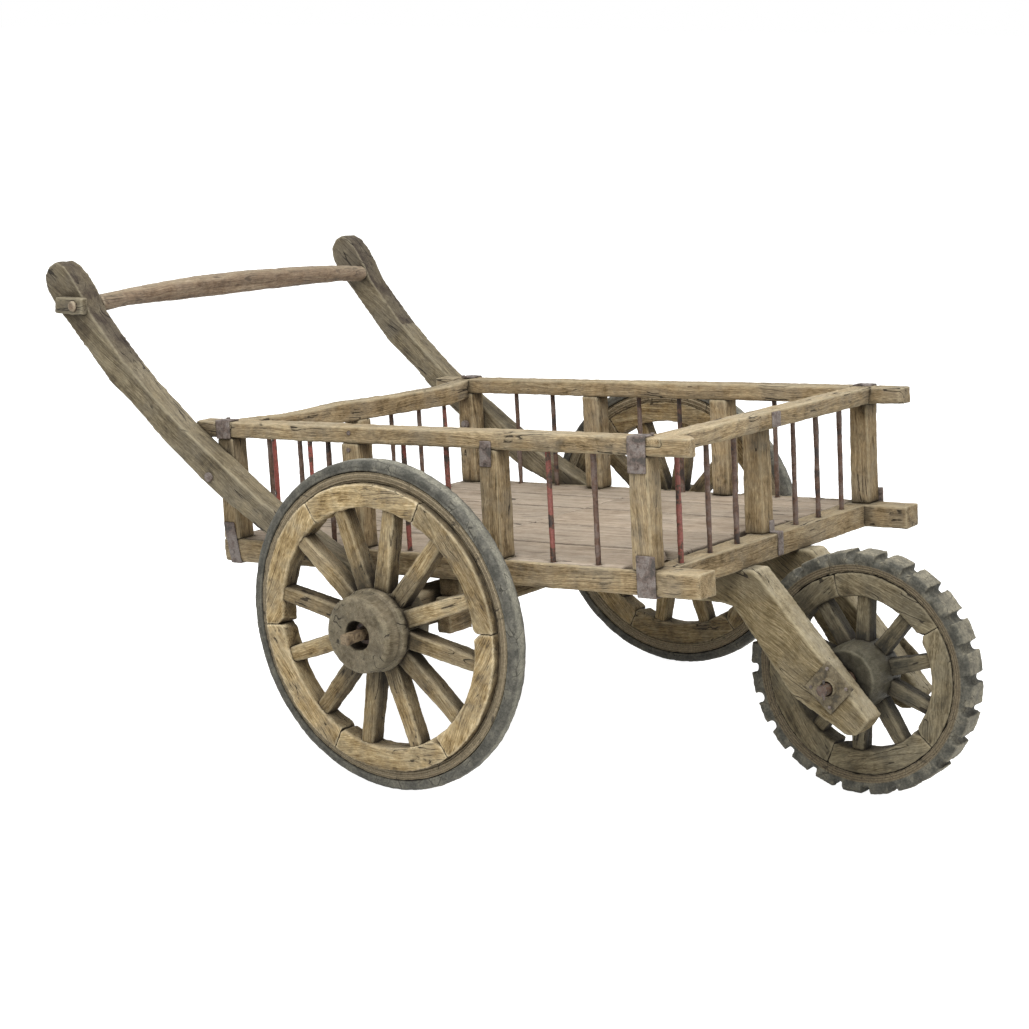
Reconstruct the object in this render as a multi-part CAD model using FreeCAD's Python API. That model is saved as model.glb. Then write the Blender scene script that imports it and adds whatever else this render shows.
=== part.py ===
import FreeCAD, Part
import math
import os
from FreeCAD import Vector

# Three-wheeled wooden hand cart, all lengths in millimetres, angles in degrees.
# The finished frame has x forward, y to the left and z up, with z = 0 on the ground.
# The bed frame has its origin on the rear axle's centre. It is pitched nose up and leans a little
# to the left before it is set on the wheels.

# How the bed sits on its wheels
bed_pitch = 4.67
bed_lean = 1.75
wheel_base = 803.5

# Rear wheels, measured from the wheel's own axis and from the cart's middle plane
rear_wheel_radius = 347.0
rear_tyre_depth = 22.0
rear_band_depth = 25.0
rear_felloe_depth = 48.5
rear_felloe_face = 581.0
rear_felloe_thickness = 46.0
rear_tyre_width = 43.0
rear_tyre_set_in = 10.0
tyre_shoulder = 14.0
tyre_groove = 2.0
rear_spokes = 12
rear_felloes = 6
rear_spoke_phase = 22.2
rear_spoke_root = 38.0
rear_spoke_tip = 31.0
rear_spoke_depth = 36.0
hub_face = 639.0
hub_inner_end = 492.0
hub_face_radius = 77.0
hub_swell_radius = 88.0
hub_waist_radius = 84.0
hub_back_radius = 70.0
hub_recess_radius = 30.0
hub_recess_depth = 35.0

# Axles, bushes and running clearances
rear_axle_radius = 15.0
axle_stub = 40.0
axle_stub_square = 24.0
bush_wall = 8.0
running_clearance = 0.05
side_clearance = 1.0
collar_wall = 8.0
collar_thickness = 8.0
front_axle_radius = 12.0
front_axle_stub = 18.0

# Front wheel
front_wheel_radius = 254.0
front_tyre_depth = 44.0
front_tyre_width = 68.0
front_lug_height = 12.0
front_lugs = 24
front_lug_share = 0.72
lug_bevel = 6.0
front_felloe_depth = 48.0
front_felloe_thickness = 54.0
front_spokes = 10
front_felloes = 5
front_spoke_phase = 14.0
front_spoke_root = 34.0
front_spoke_tip = 28.0
front_spoke_depth = 34.0
front_hub_radius = 71.0
front_hub_mortise = 18.0
front_hub_back = 34.0
front_hub_back_radius = 50.0
front_hub_end_radius = 60.0
front_hub_length = 160.0

# Felloe and spoke joinery, the same on all wheels
felloe_joint_gap = 1.2
felloe_bevel = 3.0
spoke_ease = 3.0
spoke_seat = 4.0
tenon_share = 0.62
felloe_tenon = 26.0
hub_mortise = 24.0

# Bed timbers
side_half_width = 447.0
rail_bottom = 67.0
bottom_rail_height = 50.0
bottom_rail_width = 62.0
board_thickness = 20.0
rail_lip = 9.0
bottom_rail_rear = -536.0
right_bottom_front = 695.0
left_bottom_front = 712.0
front_crossrail_back = 545.0
front_crossrail_face = 609.0
crossrail_lip = 54.0
rear_crossrail_face = -480.0
board_overhang = 6.0
board_gap = 1.6
board_split_x = 15.0
board_edges = (-245.0, -45.0, 155.0, 300.0)
joist_width = 60.0
joist_centres = (-250.0, 15.0, 280.0)
post_clearance = 0.6

top_rail_underside = 340.0
top_rail_height = 36.0
top_rail_width = 49.0
top_rail_rear = -593.0
right_top_front = 684.0
left_top_front = 701.0
front_top_back = 572.0
front_top_face = 622.0
rear_top_back = -535.0
rear_top_face = -490.0
bottom_rail_nose = 5.0
top_rail_nose = 9.0
right_nose_inner = 26.0
timber_ease = 3.0

# Crooked rear top rail: height of its top and of its underside above the top rails' top, by y
rear_top_crown = ((-222.0, -8.0), (-49.0, -4.0), (133.0, -10.0), (326.0, -10.0), (400.0, -3.0))
rear_top_sag = ((326.0, -57.0), (133.0, -53.0), (-60.0, -50.0), (-222.0, -47.0))
rear_top_end_depth = 42.0

# Posts
post_length_x = 46.0
post_width_y = 48.0
post_tenon = 26.0
post_tenon_up = 15.0
post_tenon_down = 20.0
right_post_x = (-512.0, -155.0, 206.0, 566.0)
left_post_x = (-505.0, -128.0, 229.0, 591.0)
middle_post_width = 44.0

# Iron rods between the rails
rod_radius = 5.5
rod_hole_clearance = 0.1
rod_inset = 22.0
rod_socket = 16.0
right_rod_x = (-400.0, -312.0, -232.0, -26.0, 86.0, 341.0, 450.0)
left_rod_x = (-363.0, -254.0, -3.0, 109.0, 365.0, 471.0)
front_rod_y = (-340.0, -232.0, -127.0, 115.0, 213.0, 318.0)
rear_rod_y = (-290.0, -172.0, 121.0, 226.0, 325.0)
front_rod_x = 588.0
rear_rod_x = -512.0

# Iron straps over the corners
strap_thickness = 3.0
strap_fold = 30.0
# At the top rails: post, rear and front edge from its middle, reach below the rail's underside, reach
# above it (0 where the strap folds over the rail) and slant
upper_straps = (
    ("rear", -20.0, 20.0, 2.0, 0.0, 0.0),
    ("middle", -15.0, 13.0, 35.0, 17.0, -3.0),
    ("front", -20.0, 22.0, 34.0, 0.0, -2.0),
)
# At the bottom rails: post, rear and front edge from its middle, height and slant
lower_straps = (("rear", -19.0, 11.0, 90.0, 15.0), ("front", -11.0, 32.0, 83.0, 0.0))
front_plate_y = (-29.0, 4.0)
front_plate_margin = 2.0
front_bend_width = 20.0
front_bend_rise = 26.0
front_bend_margin = 3.0

# Nails: radius and height of the heads, then their places from a post's middle and a rail's underside
nail_radius = 4.5
nail_head = 2.5
flange_nail_radius = 3.5
flange_nail_inset = 11.0
upper_nails = (
    ("rear", 2.0, 26.0), ("middle", -2.0, 6.0), ("middle", -3.0, -23.0), ("front", 1.0, 20.0),
    ("front", 0.0, -20.0),
)
lower_nails = (("rear", 3.0, 21.0), ("front", 10.0, 23.0), ("front", 10.0, 61.0))
rail_nails = ((2.2, 22.0), (-1.4, -14.0))
rail_top_nail_y = 420.0
rail_top_nail_inset = 14.0

# Handle arms: side outline in the bed frame, tip first, upper edge then lower edge
arm_upper = (
    (-924.0, 732.0), (-899.0, 720.0), (-876.0, 695.0), (-855.0, 661.0), (-832.0, 617.0),
    (-795.0, 573.0), (-740.0, 510.0), (-685.0, 455.0), (-597.0, 378.0), (-449.0, 273.0), (-367.0, 216.0),
    (-177.0, 116.0), (-105.0, 82.0),
)
arm_lower = (
    (-112.0, 34.0), (-313.0, 125.0), (-372.0, 151.0), (-481.0, 218.0), (-538.0, 257.0),
    (-648.0, 344.0), (-702.0, 397.0), (-788.0, 466.0), (-844.0, 531.0), (-899.0, 594.0),
    (-939.0, 638.0), (-957.0, 668.0), (-961.0, 699.0), (-947.0, 721.0),
)
arm_thickness = 55.0
arm_splay_from = -600.0
arm_splay = 13.0
arm_tip_x = -961.0

# Handle bar and the wooden keys outside the arms
bar_radius = 19.0
bar_bow = 20.0
bar_x = -861.0
bar_z = 634.0
bar_tenon_radius = 12.0
key_length = 86.0
key_height = 40.0
key_thickness = 18.0
right_key_offset = 16.0
left_key_offset = 28.0
key_gap = 0.2
bar_end_proud = 4.0

# Bolts that hold the arms
bolt_radius = 5.0
bolt_head_radius = 10.0
bolt_head_height = 5.0
nut_thickness = 7.0
arm_bolt_post_z = 262.0
arm_bolt_rail_x = -190.0
arm_bolt_rail_rise = 17.0

# Beams under the bed
axle_beam_length_x = 72.0
axle_beam_drop = 35.0
axle_beam_top = 40.0
axle_beam_end_gap = 7.0
cross_beam_rear = 50.0
cross_beam_front = 105.0
cross_beam_low = 27.0
cross_beam_half = 430.0
beam_block_width = 38.0
beam_block_inner = 373.0
beam_block_drop = 48.0

# Fork: two crooked arms whose tails run back under the bed
fork_inner = 89.0
fork_thickness = 60.0
tail_rear = -60.0
tail_depth = 71.0
fork_shoulder_back = 165.0
fork_heel_back = 243.0
# Outline of the leg, measured from the front axle's centre
fork_leg = (
    (84.0, -60.5), (70.0, -79.0), (54.0, -94.0), (33.5, -95.5), (-28.5, -58.5), (-78.0, -31.0),
    (-95.5, -15.5), (-162.5, 77.5), (-184.5, 106.5), (-217.5, 148.0),
)
flange_side = 78.0
flange_thickness = 4.0
flange_turn = 43.0
pipe_radius = 18.0
pipe_bore = 15.0
pipe_length = 15.0
cotter_radius = 2.5
cotter_length = 40.0


def box(x0, x1, y0, y1, z0, z1):
    return Part.makeBox(x1 - x0, y1 - y0, z1 - z0, Vector(x0, y0, z0))


def face_of(corners):
    return Part.Face(Part.makePolygon(corners + corners[:1]))


def side_prism(outline, y0, y1):
    # An outline in x and z, drawn out along y.
    return face_of([Vector(x, y0, z) for x, z in outline]).extrude(Vector(0, y1 - y0, 0))


def plan_prism(outline, z0, z1):
    # An outline in x and y, drawn out along z.
    return face_of([Vector(x, y, z0) for x, y in outline]).extrude(Vector(0, 0, z1 - z0))


def end_prism(outline, x0, x1):
    # An outline in y and z, drawn out along x.
    return face_of([Vector(x0, y, z) for y, z in outline]).extrude(Vector(x1 - x0, 0, 0))


def bar_along_y(radius, y0, y1, x=0.0, z=0.0):
    return Part.makeCylinder(radius, y1 - y0, Vector(x, y0, z), Vector(0, 1, 0))


def bar_along_z(radius, z0, z1, x, y):
    return Part.makeCylinder(radius, z1 - z0, Vector(x, y, z0))


def turned_about_y(outline, angle=360.0):
    # An outline of (radius, y) turned about the y axis.
    return face_of([Vector(r, y, 0) for r, y in outline]).revolve(Vector(), Vector(0, 1, 0), angle)


def spun(shape, angle):
    # Turns a wheel piece about the y axis, from +x towards +z.
    copy = shape.copy()
    copy.rotate(Vector(), Vector(0, 1, 0), -angle)
    return copy


def moved(shape, x, y, z):
    copy = shape.copy()
    copy.translate(Vector(x, y, z))
    return copy


def mirrored(shape):
    return shape.mirror(Vector(), Vector(0, 1, 0))


def eased(shape, size, shortest):
    # Planes off the long edges of a timber.
    edges = [edge for edge in shape.Edges if edge.Length > shortest]
    return shape.makeChamfer(size, edges)


def group(shapes):
    return Part.makeCompound(shapes)


# Heights and widths that several timbers share
floor_top = rail_bottom + bottom_rail_height
board_underside = floor_top - board_thickness
top_rail_top = top_rail_underside + top_rail_height
bottom_rail_inner = side_half_width - bottom_rail_width
top_rail_inner = side_half_width - top_rail_width
post_inner = side_half_width - post_width_y
post_middle = side_half_width - post_width_y / 2
rod_line = side_half_width - rod_inset
board_front = front_crossrail_face - crossrail_lip
board_rear = bottom_rail_rear - board_overhang
half_lap = top_rail_underside + top_rail_height / 2
fork_outer = fork_inner + fork_thickness
tail_underside = rail_bottom - tail_depth


def front_axle_height():
    # The front tyre's lower edge touches the same ground as the rear tyres while the bed leans.
    lean = math.radians(bed_lean)
    pitch = math.radians(bed_pitch)
    half_tread = front_tyre_width / 2 - lug_bevel
    drop = (front_wheel_radius * math.cos(lean) + half_tread * math.sin(lean)) - rear_wheel_radius
    return (drop / math.cos(lean) - wheel_base * math.sin(pitch)) / math.cos(pitch)


front_axle_z = front_axle_height()


def seated(shape):
    # Carries a piece from the bed frame to the cart on its wheels.
    copy = shape.copy()
    copy.rotate(Vector(), Vector(0, 1, 0), -bed_pitch)
    copy.rotate(Vector(), Vector(1, 0, 0), -bed_lean)
    copy.translate(Vector(0, 0, rear_wheel_radius))
    return copy


def post_footprints():
    # Each post as (name, x0, x1, y0, y1).
    half = post_length_x / 2
    posts = []
    for number, x in enumerate(right_post_x, 1):
        posts.append((f"right_post_{number}", x - half, x + half, -side_half_width, -post_inner))
    for number, x in enumerate(left_post_x, 1):
        posts.append((f"left_post_{number}", x - half, x + half, post_inner, side_half_width))
    middle = middle_post_width / 2
    front = right_post_x[-1]
    rear = (rear_top_back + rear_top_face) / 2
    posts.append(("front_post", front - half, front + half, -middle, middle))
    posts.append(("rear_post", rear - half, rear + half, -middle, middle))
    return posts


def post_solid(name, x0, x1, y0, y1):
    top = top_rail_underside
    if name == "rear_post":
        top = top_rail_top + rear_top_sag[2][1]
    shaft = eased(box(x0, x1, y0, y1, floor_top, top), timber_ease, post_width_y * 1.5)
    x = (x0 + x1) / 2
    y = (y0 + y1) / 2
    half = post_tenon / 2
    foot = box(x - half, x + half, y - half, y + half, floor_top - post_tenon_down, floor_top)
    head = box(x - half, x + half, y - half, y + half, top, top + post_tenon_up)
    return shaft.fuse([foot, head])


def floor_space():
    # The room that the floor boards fill, with a full-height pad left under every post.
    edge = side_half_width - rail_lip
    space = box(board_rear, board_front, -edge, edge, board_underside, floor_top)
    pads = []
    gap = post_clearance
    for name, x0, x1, y0, y1 in post_footprints():
        pads.append(box(x0 - gap, x1 + gap, y0 - gap, y1 + gap, board_underside, floor_top))
    return space.cut(pads)


def floor_boards(space, holes):
    edge = side_half_width - rail_lip
    lines = (-edge,) + board_edges + (edge,)
    boards = {}
    half_gap = board_gap / 2
    for number in range(1, len(lines)):
        y0 = lines[number - 1] + (half_gap if number > 1 else 0.0)
        y1 = lines[number] - (half_gap if number < len(lines) - 1 else 0.0)
        pieces = []
        for x0, x1 in ((board_rear, board_split_x - half_gap), (board_split_x + half_gap, board_front)):
            strip = box(x0, x1, y0, y1, board_underside, floor_top)
            pieces.extend(space.common(strip).cut(holes).Solids)
        boards[f"floor_board_{number}"] = group(pieces)
    return boards


def rod_places():
    # Each rod as (x, y, lower end, upper end).
    low = floor_top - rod_socket
    rear_low = board_underside - rod_socket / 2
    high = top_rail_underside + rod_socket
    rear_high = top_rail_top + rear_top_sag[0][1] + rod_socket + rear_top_crown[0][1]
    sides = [(x, -rod_line, low - board_thickness / 2, high) for x in right_rod_x]
    sides += [(x, rod_line, low - board_thickness / 2, high) for x in left_rod_x]
    ends = [(front_rod_x, y, low, high) for y in front_rod_y]
    ends += [(rear_rod_x, y, rear_low, rear_high + rod_socket / 2) for y in rear_rod_y]
    return sides, ends


def rods(places):
    return group([bar_along_z(rod_radius, low, high, x, y) for x, y, low, high in places])


def rod_holes(places):
    size = rod_radius + rod_hole_clearance
    return [bar_along_z(size, low, high, x, y) for x, y, low, high in places]


def bottom_side_rail(side, front):
    y0, y1 = sorted((side * bottom_rail_inner, side * side_half_width))
    rail = box(bottom_rail_rear, front, y0, y1, rail_bottom, floor_top)
    rail = eased(rail, timber_ease, 100.0)
    nose = [
        (front - bottom_rail_nose, side * side_half_width),
        (front + 1.0, side * side_half_width),
        (front + 1.0, side * (side_half_width - bottom_rail_nose)),
    ]
    return rail.cut(plan_prism(nose, rail_bottom, floor_top))


def bottom_cross_rail(x0, x1, top):
    rail = box(x0, x1, -bottom_rail_inner, bottom_rail_inner, rail_bottom, top)
    third = (top - rail_bottom) / 3
    tenons = []
    for side in (-1, 1):
        y0, y1 = sorted((side * bottom_rail_inner, side * (bottom_rail_inner + rod_inset)))
        low = rail_bottom + third / 2
        tenons.append(box(x0 + 8.0, x1 - 8.0, y0, y1, low, low + third))
    return rail.fuse(tenons)


def joists():
    pieces = []
    for x in joist_centres:
        half = joist_width / 2
        inner = bottom_rail_inner
        pieces.append(box(x - half, x + half, -inner, inner, rail_bottom, board_underside))
    return pieces


def top_side_rail(side, front, inner_nose):
    y0, y1 = sorted((side * top_rail_inner, side * side_half_width))
    rail = box(top_rail_rear, front, y0, y1, top_rail_underside, top_rail_top)
    rail = eased(rail, timber_ease, 100.0)
    middle = side * (top_rail_inner + side_half_width) / 2
    half = top_rail_width / 2
    tip = front
    noses = []
    for edge in (-1, 1):
        nose = top_rail_nose if edge == side else inner_nose
        noses.append([(tip - nose, middle + edge * half), (tip + 1.0, middle + edge * half),
                      (tip + 1.0, middle + edge * (half - nose))])
    rail = rail.cut([plan_prism(nose, top_rail_underside, top_rail_top) for nose in noses])
    laps = [
        box(front_top_back, front_top_face, y0, y1, half_lap, top_rail_top),
        box(rear_top_back, rear_top_face, y0, y1, half_lap, top_rail_top),
    ]
    return rail.cut(laps)


def front_top_rail():
    width = side_half_width
    rail = box(front_top_back, front_top_face, -width, width, top_rail_underside, top_rail_top)
    laps = []
    for side in (-1, 1):
        y0, y1 = sorted((side * top_rail_inner, side * side_half_width))
        laps.append(box(front_top_back, front_top_face, y0, y1, top_rail_underside, half_lap))
    return rail.cut(laps)


def rear_top_rail():
    # A crooked pole: it sags towards the left and thins at its lapped ends.
    width = side_half_width
    top = top_rail_top
    low = top - rear_top_end_depth
    outline = [(-width, top)]
    outline += [(y, top + rise) for y, rise in rear_top_crown]
    outline += [(width, top), (width, low)]
    outline += [(y, top + drop) for y, drop in rear_top_sag]
    outline += [(-width, low)]
    rail = end_prism(outline, rear_top_back, rear_top_face)
    laps = []
    for side in (-1, 1):
        y0, y1 = sorted((side * top_rail_inner, side * side_half_width))
        laps.append(box(rear_top_back, rear_top_face, y0, y1, low - 20.0, half_lap))
    return rail.cut(laps)


def outline_y(x):
    # How far the splay has carried an arm's inner face outwards at x.
    if x > arm_splay_from:
        return side_half_width
    share = (arm_splay_from - x) / (arm_splay_from - arm_tip_x)
    return side_half_width + arm_splay * share


def handle_arm(side):
    reach = side_half_width + arm_splay + arm_thickness
    profile = side_prism(list(arm_upper) + list(arm_lower), 0.0, side * (reach + key_thickness))
    far = arm_tip_x - 20.0
    near = arm_lower[0][0] + 40.0
    plan = [(near, side * side_half_width), (arm_splay_from, side * side_half_width),
            (far, side * outline_y(far)), (far, side * (outline_y(far) + arm_thickness)),
            (arm_splay_from, side * (side_half_width + arm_thickness)),
            (near, side * (side_half_width + arm_thickness))]
    top = arm_upper[0][1] + arm_thickness
    return profile.common(plan_prism(plan, 0.0, top))


def handle_bar():
    # Bowed upwards between the arms, with straight round tenons through them.
    inner = outline_y(bar_x) - 2.0
    radius = (inner * inner + bar_bow * bar_bow) / (2 * bar_bow)
    path = Part.Arc(Vector(bar_x, -inner, bar_z), Vector(bar_x, 0, bar_z + bar_bow),
                    Vector(bar_x, inner, bar_z)).toShape()
    tilt = math.asin(inner / radius)
    start = Vector(bar_x, -inner, bar_z)
    circle = Part.Wire(Part.makeCircle(bar_radius, start, Vector(0, math.cos(tilt), math.sin(tilt))))
    body = Part.Wire(path).makePipeShell([circle], True, False)
    half_space = inner + 40.0
    body = body.common(box(bar_x - 60, bar_x + 60, -half_space, half_space, bar_z - 60, bar_z + 80))
    reach = outline_y(bar_x) + arm_thickness + key_thickness + bar_end_proud + 3.0
    return body.fuse(bar_along_y(bar_tenon_radius, -reach, reach, bar_x, bar_z))


def handle_key(side):
    # A wooden block on the arm's outer face, over the bar's tenon.
    half = key_length / 2
    centre = bar_x - (right_key_offset if side < 0 else left_key_offset)
    low = bar_z - key_height / 2
    outline = [(centre - half, low + 5.0), (centre - half + 6.0, low + key_height),
               (centre + half, low + key_height - 4.0), (centre + half - 4.0, low)]
    block = side_prism(outline, 0.0, side * 2 * side_half_width)
    rear, front = centre - half - 5.0, centre + half + 5.0
    near = arm_thickness + key_gap
    far = near + key_thickness
    plan = [(rear, side * (outline_y(rear) + near)), (front, side * (outline_y(front) + near)),
            (front, side * (outline_y(front) + far)), (rear, side * (outline_y(rear) + far))]
    return block.common(plan_prism(plan, low - 10.0, low + key_height + 10.0))


def arm_bolt(side, x, z, inner):
    # A round head outside the arm and a nut on the inner face of the timber behind it.
    outer = side_half_width + arm_thickness
    pieces = [
        bar_along_y(bolt_radius, inner - nut_thickness - 4.0, outer, x, z),
        bar_along_y(bolt_head_radius, outer, outer + bolt_head_height, x, z),
        bar_along_y(bolt_head_radius, inner - nut_thickness, inner, x, z),
    ]
    bolt = pieces[0].fuse(pieces[1:])
    return bolt if side > 0 else mirrored(bolt)


def arm_bolts():
    bolts = []
    for side, posts in ((-1, right_post_x), (1, left_post_x)):
        bolts.append(arm_bolt(side, posts[0], arm_bolt_post_z, post_inner))
        rail_z = rail_bottom + arm_bolt_rail_rise
        bolts.append(arm_bolt(side, arm_bolt_rail_x, rail_z, bottom_rail_inner))
    return bolts


def bolt_holes():
    holes = []
    size = bolt_radius + rod_hole_clearance
    outer = side_half_width + arm_thickness
    for side, posts in ((-1, right_post_x), (1, left_post_x)):
        y0, y1 = sorted((side * bottom_rail_inner, side * outer))
        holes.append(bar_along_y(size, y0, y1, posts[0], arm_bolt_post_z))
        holes.append(bar_along_y(size, y0, y1, arm_bolt_rail_x, rail_bottom + arm_bolt_rail_rise))
    return holes


def strap(side, x0, x1, z0, z1, shift, fold):
    # A flat iron strip on a side face. It may slant, and its end may fold over or under a rail.
    face = side_half_width
    t = strap_thickness
    outline = [(x0 + shift, z0), (x1 + shift, z0), (x1, z1), (x0, z1)]
    piece = side_prism(outline, face, face + t)
    if fold > 0:
        piece = piece.fuse(box(x0, x1, face - strap_fold, face + t, z1 - t, z1))
    if fold < 0:
        piece = piece.fuse(box(x0 + shift, x1 + shift, face - strap_fold, face + t, z0, z0 + t))
    piece = piece.removeSplitter()
    return piece if side > 0 else mirrored(piece)


def post_middle_x(posts, which):
    return {"rear": posts[0], "middle": posts[2], "front": posts[-1]}[which]


def corner_straps():
    t = strap_thickness
    pieces = []
    for side, posts in ((-1, right_post_x), (1, left_post_x)):
        for post, rear, front, below, above, slant in upper_straps:
            x = post_middle_x(posts, post)
            top = top_rail_underside + above if above else top_rail_top + t
            low = top_rail_underside - below
            pieces.append(strap(side, x + rear, x + front, low, top, slant, 0 if above else 1))
        for post, rear, front, height, slant in lower_straps:
            x = post_middle_x(posts, post)
            low = rail_bottom - t
            pieces.append(strap(side, x + rear, x + front, low, low + height, slant, -1))
    y0, y1 = front_plate_y
    margin = front_plate_margin
    low = top_rail_underside + margin
    pieces.append(box(front_top_face, front_top_face + t, y0, y1, low, top_rail_top - margin))
    post_face = right_post_x[-1] + post_length_x / 2
    wide = front_bend_width
    bend = box(post_face, front_crossrail_face, 0, wide, floor_top, floor_top + t)
    up = box(post_face, post_face + t, 0, wide, floor_top, floor_top + front_bend_rise)
    low = rail_bottom + front_bend_margin
    down = box(front_crossrail_face, front_crossrail_face + t, 0, wide, low, floor_top + t)
    pieces.append(bend.fuse([up, down]).removeSplitter())
    return pieces


def side_nail(side, x, face, z):
    head = bar_along_y(nail_radius, face, face + nail_head, x, z)
    return head if side > 0 else mirrored(head)


def nail_heads():
    # Round heads on the straps and on the rails.
    face = side_half_width + strap_thickness
    heads = []
    for side, posts in ((-1, right_post_x), (1, left_post_x)):
        for post, along, rise in upper_nails:
            x = post_middle_x(posts, post) + along
            heads.append(side_nail(side, x, face, top_rail_underside + rise))
        for post, along, rise in lower_nails:
            x = post_middle_x(posts, post) + along
            heads.append(side_nail(side, x, face, rail_bottom + rise))
        for along, rise in rail_nails:
            heads.append(side_nail(side, posts[1] + along, side_half_width, top_rail_underside + rise))
    for y in (-rail_top_nail_y, rail_top_nail_y):
        for back in (front_top_back, rear_top_back):
            folded = abs(y) > side_half_width - strap_fold
            z = top_rail_top + (strap_thickness if folded else 0.0)
            heads.append(bar_along_z(nail_radius, z, z + nail_head, back + rail_top_nail_inset, y))
    return heads


def flange(side):
    # A square iron plate round a short pipe, on the outside of a fork arm.
    half = flange_side / 2
    outer = fork_outer
    plate = box(-half, half, outer, outer + flange_thickness, -half, half)
    plate = plate.fuse(bar_along_y(pipe_radius, outer, outer + pipe_length))
    plate = plate.cut(bar_along_y(pipe_bore, outer - 1, outer + pipe_length + 1))
    heads = []
    for sx in (-1, 1):
        for sz in (-1, 1):
            spot = half - flange_nail_inset
            y = outer + flange_thickness
            heads.append(bar_along_y(flange_nail_radius, y, y + nail_head, sx * spot, sz * spot))
    pieces = [plate] + heads
    pieces = [moved(spun(piece, -flange_turn), wheel_base, 0, front_axle_z) for piece in pieces]
    if side < 0:
        pieces = [mirrored(piece) for piece in pieces]
    return pieces[0], pieces[1:]


def fork_arm(side):
    outline = [(tail_rear, rail_bottom), (wheel_base - fork_shoulder_back, rail_bottom)]
    outline += [(wheel_base + x, front_axle_z + z) for x, z in fork_leg]
    outline += [(wheel_base - fork_heel_back, tail_underside), (tail_rear, tail_underside)]
    arm = side_prism(outline, side * fork_inner, side * fork_outer)
    y0, y1 = sorted((side * fork_inner, side * fork_outer))
    half = axle_beam_length_x / 2
    notches = [
        box(-half, half, y0, y1, tail_underside, axle_beam_top),
        box(cross_beam_rear, cross_beam_front, y0, y1, cross_beam_low, rail_bottom),
    ]
    hole = bar_along_y(front_axle_radius + running_clearance, y0, y1, wheel_base, front_axle_z)
    return arm.cut(notches + [hole])


def axle_beam():
    half = axle_beam_length_x / 2
    end = hub_inner_end - axle_beam_end_gap
    return eased(box(-half, half, -end, end, -axle_beam_drop, axle_beam_top), timber_ease, 200.0)


def cross_beam():
    # A beam let into the tops of the fork's tails, with a block under each end.
    end = cross_beam_half
    beam = box(cross_beam_rear, cross_beam_front, -end, end, cross_beam_low, rail_bottom)
    front = cross_beam_rear + beam_block_width
    block = box(cross_beam_rear, front, beam_block_inner, side_half_width, -beam_block_drop, cross_beam_low)
    block = eased(block, timber_ease, 60.0)
    return group([eased(beam, timber_ease, 200.0), block, mirrored(block)])


def rear_axle():
    # Round through the hubs, with a square stub that stands out of each one.
    bush_end = hub_face - hub_recess_depth
    end = hub_face + axle_stub
    bar = bar_along_y(rear_axle_radius, -end, end)
    half = axle_stub_square / 2
    stub_start = bush_end + side_clearance + collar_thickness
    stubs = []
    for side in (-1, 1):
        y0, y1 = sorted((side * stub_start, side * end))
        stub = box(-half, half, y0, y1, -half, half)
        stubs.append(eased(stub, 3.0, 40.0))
    middle = bar_along_y(rear_axle_radius, -stub_start, stub_start)
    return middle.fuse([bar.common(stub) for stub in stubs])


def axle_collars():
    # Rings keyed on the axle inside the hub's recess keep each wheel on.
    start = hub_face - hub_recess_depth + side_clearance
    collars = []
    for side in (-1, 1):
        y0, y1 = sorted((side * start, side * (start + collar_thickness)))
        ring = bar_along_y(rear_axle_radius + collar_wall, y0, y1)
        collars.append(ring.cut(bar_along_y(rear_axle_radius, y0, y1)))
    return group(collars)


def front_axle():
    end = fork_outer + pipe_length + front_axle_stub
    return moved(bar_along_y(front_axle_radius, -end, end), wheel_base, 0, front_axle_z)


def front_cotters():
    # Upright pins through the axle's ends, just outside the pipes.
    pins = []
    y = fork_outer + pipe_length + front_axle_stub / 2
    half = cotter_length / 2
    for side in (-1, 1):
        pin = bar_along_z(cotter_radius, -half, half, 0, side * y)
        pins.append(moved(pin, wheel_base, 0, front_axle_z))
    return pins


def spoke(angle, root_radius, rim_radius, root_width, tip_width, depth, length_in_felloe):
    # A tapered bar with a square tenon at its outer end.
    outline = [(root_radius, -root_width / 2), (rim_radius, -tip_width / 2),
               (rim_radius, tip_width / 2), (root_radius, root_width / 2)]
    bar = eased(side_prism(outline, -depth / 2, depth / 2), spoke_ease, rim_radius - root_radius - 2)
    half_w = tip_width * tenon_share / 2
    half_d = depth * tenon_share / 2
    tip = rim_radius + length_in_felloe
    return spun(bar.fuse(box(rim_radius, tip, -half_d, half_d, -half_w, half_w)), angle)


def felloe_ring(inner, outer, thickness, count, first_joint):
    # Curved blocks of wood that meet end to end.
    half = thickness / 2
    b = felloe_bevel
    outline = [(inner, -half + b), (inner + b, -half), (outer, -half), (outer, half),
               (inner + b, half), (inner, half - b)]
    step = 360.0 / count
    gap = math.degrees(felloe_joint_gap / outer)
    block = turned_about_y(outline, step - gap)
    return [spun(block, first_joint + step * (k + 1) - gap / 2) for k in range(count)]


def wheel_wood(spokes, felloes, hub):
    felloes = [felloe.cut(spokes) for felloe in felloes]
    hub = hub.cut(spokes)
    return group(spokes), group(felloes), hub


def rear_tyre_rubber(inner):
    # A solid rubber ring with round shoulders and a moulded groove in each side.
    top = rear_wheel_radius
    half = rear_tyre_width / 2
    side_line = [
        (inner, half), (inner + 3, half), (inner + 5, half - tyre_groove), (inner + 7, half),
        (inner + 9, half - 1), (top - tyre_shoulder * 0.45, half - tyre_shoulder * 0.3),
        (top - tyre_shoulder * 0.15, half - tyre_shoulder * 0.65), (top, half - tyre_shoulder),
    ]
    other = [(r, -y) for r, y in reversed(side_line)]
    return turned_about_y(side_line + other)


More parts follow.
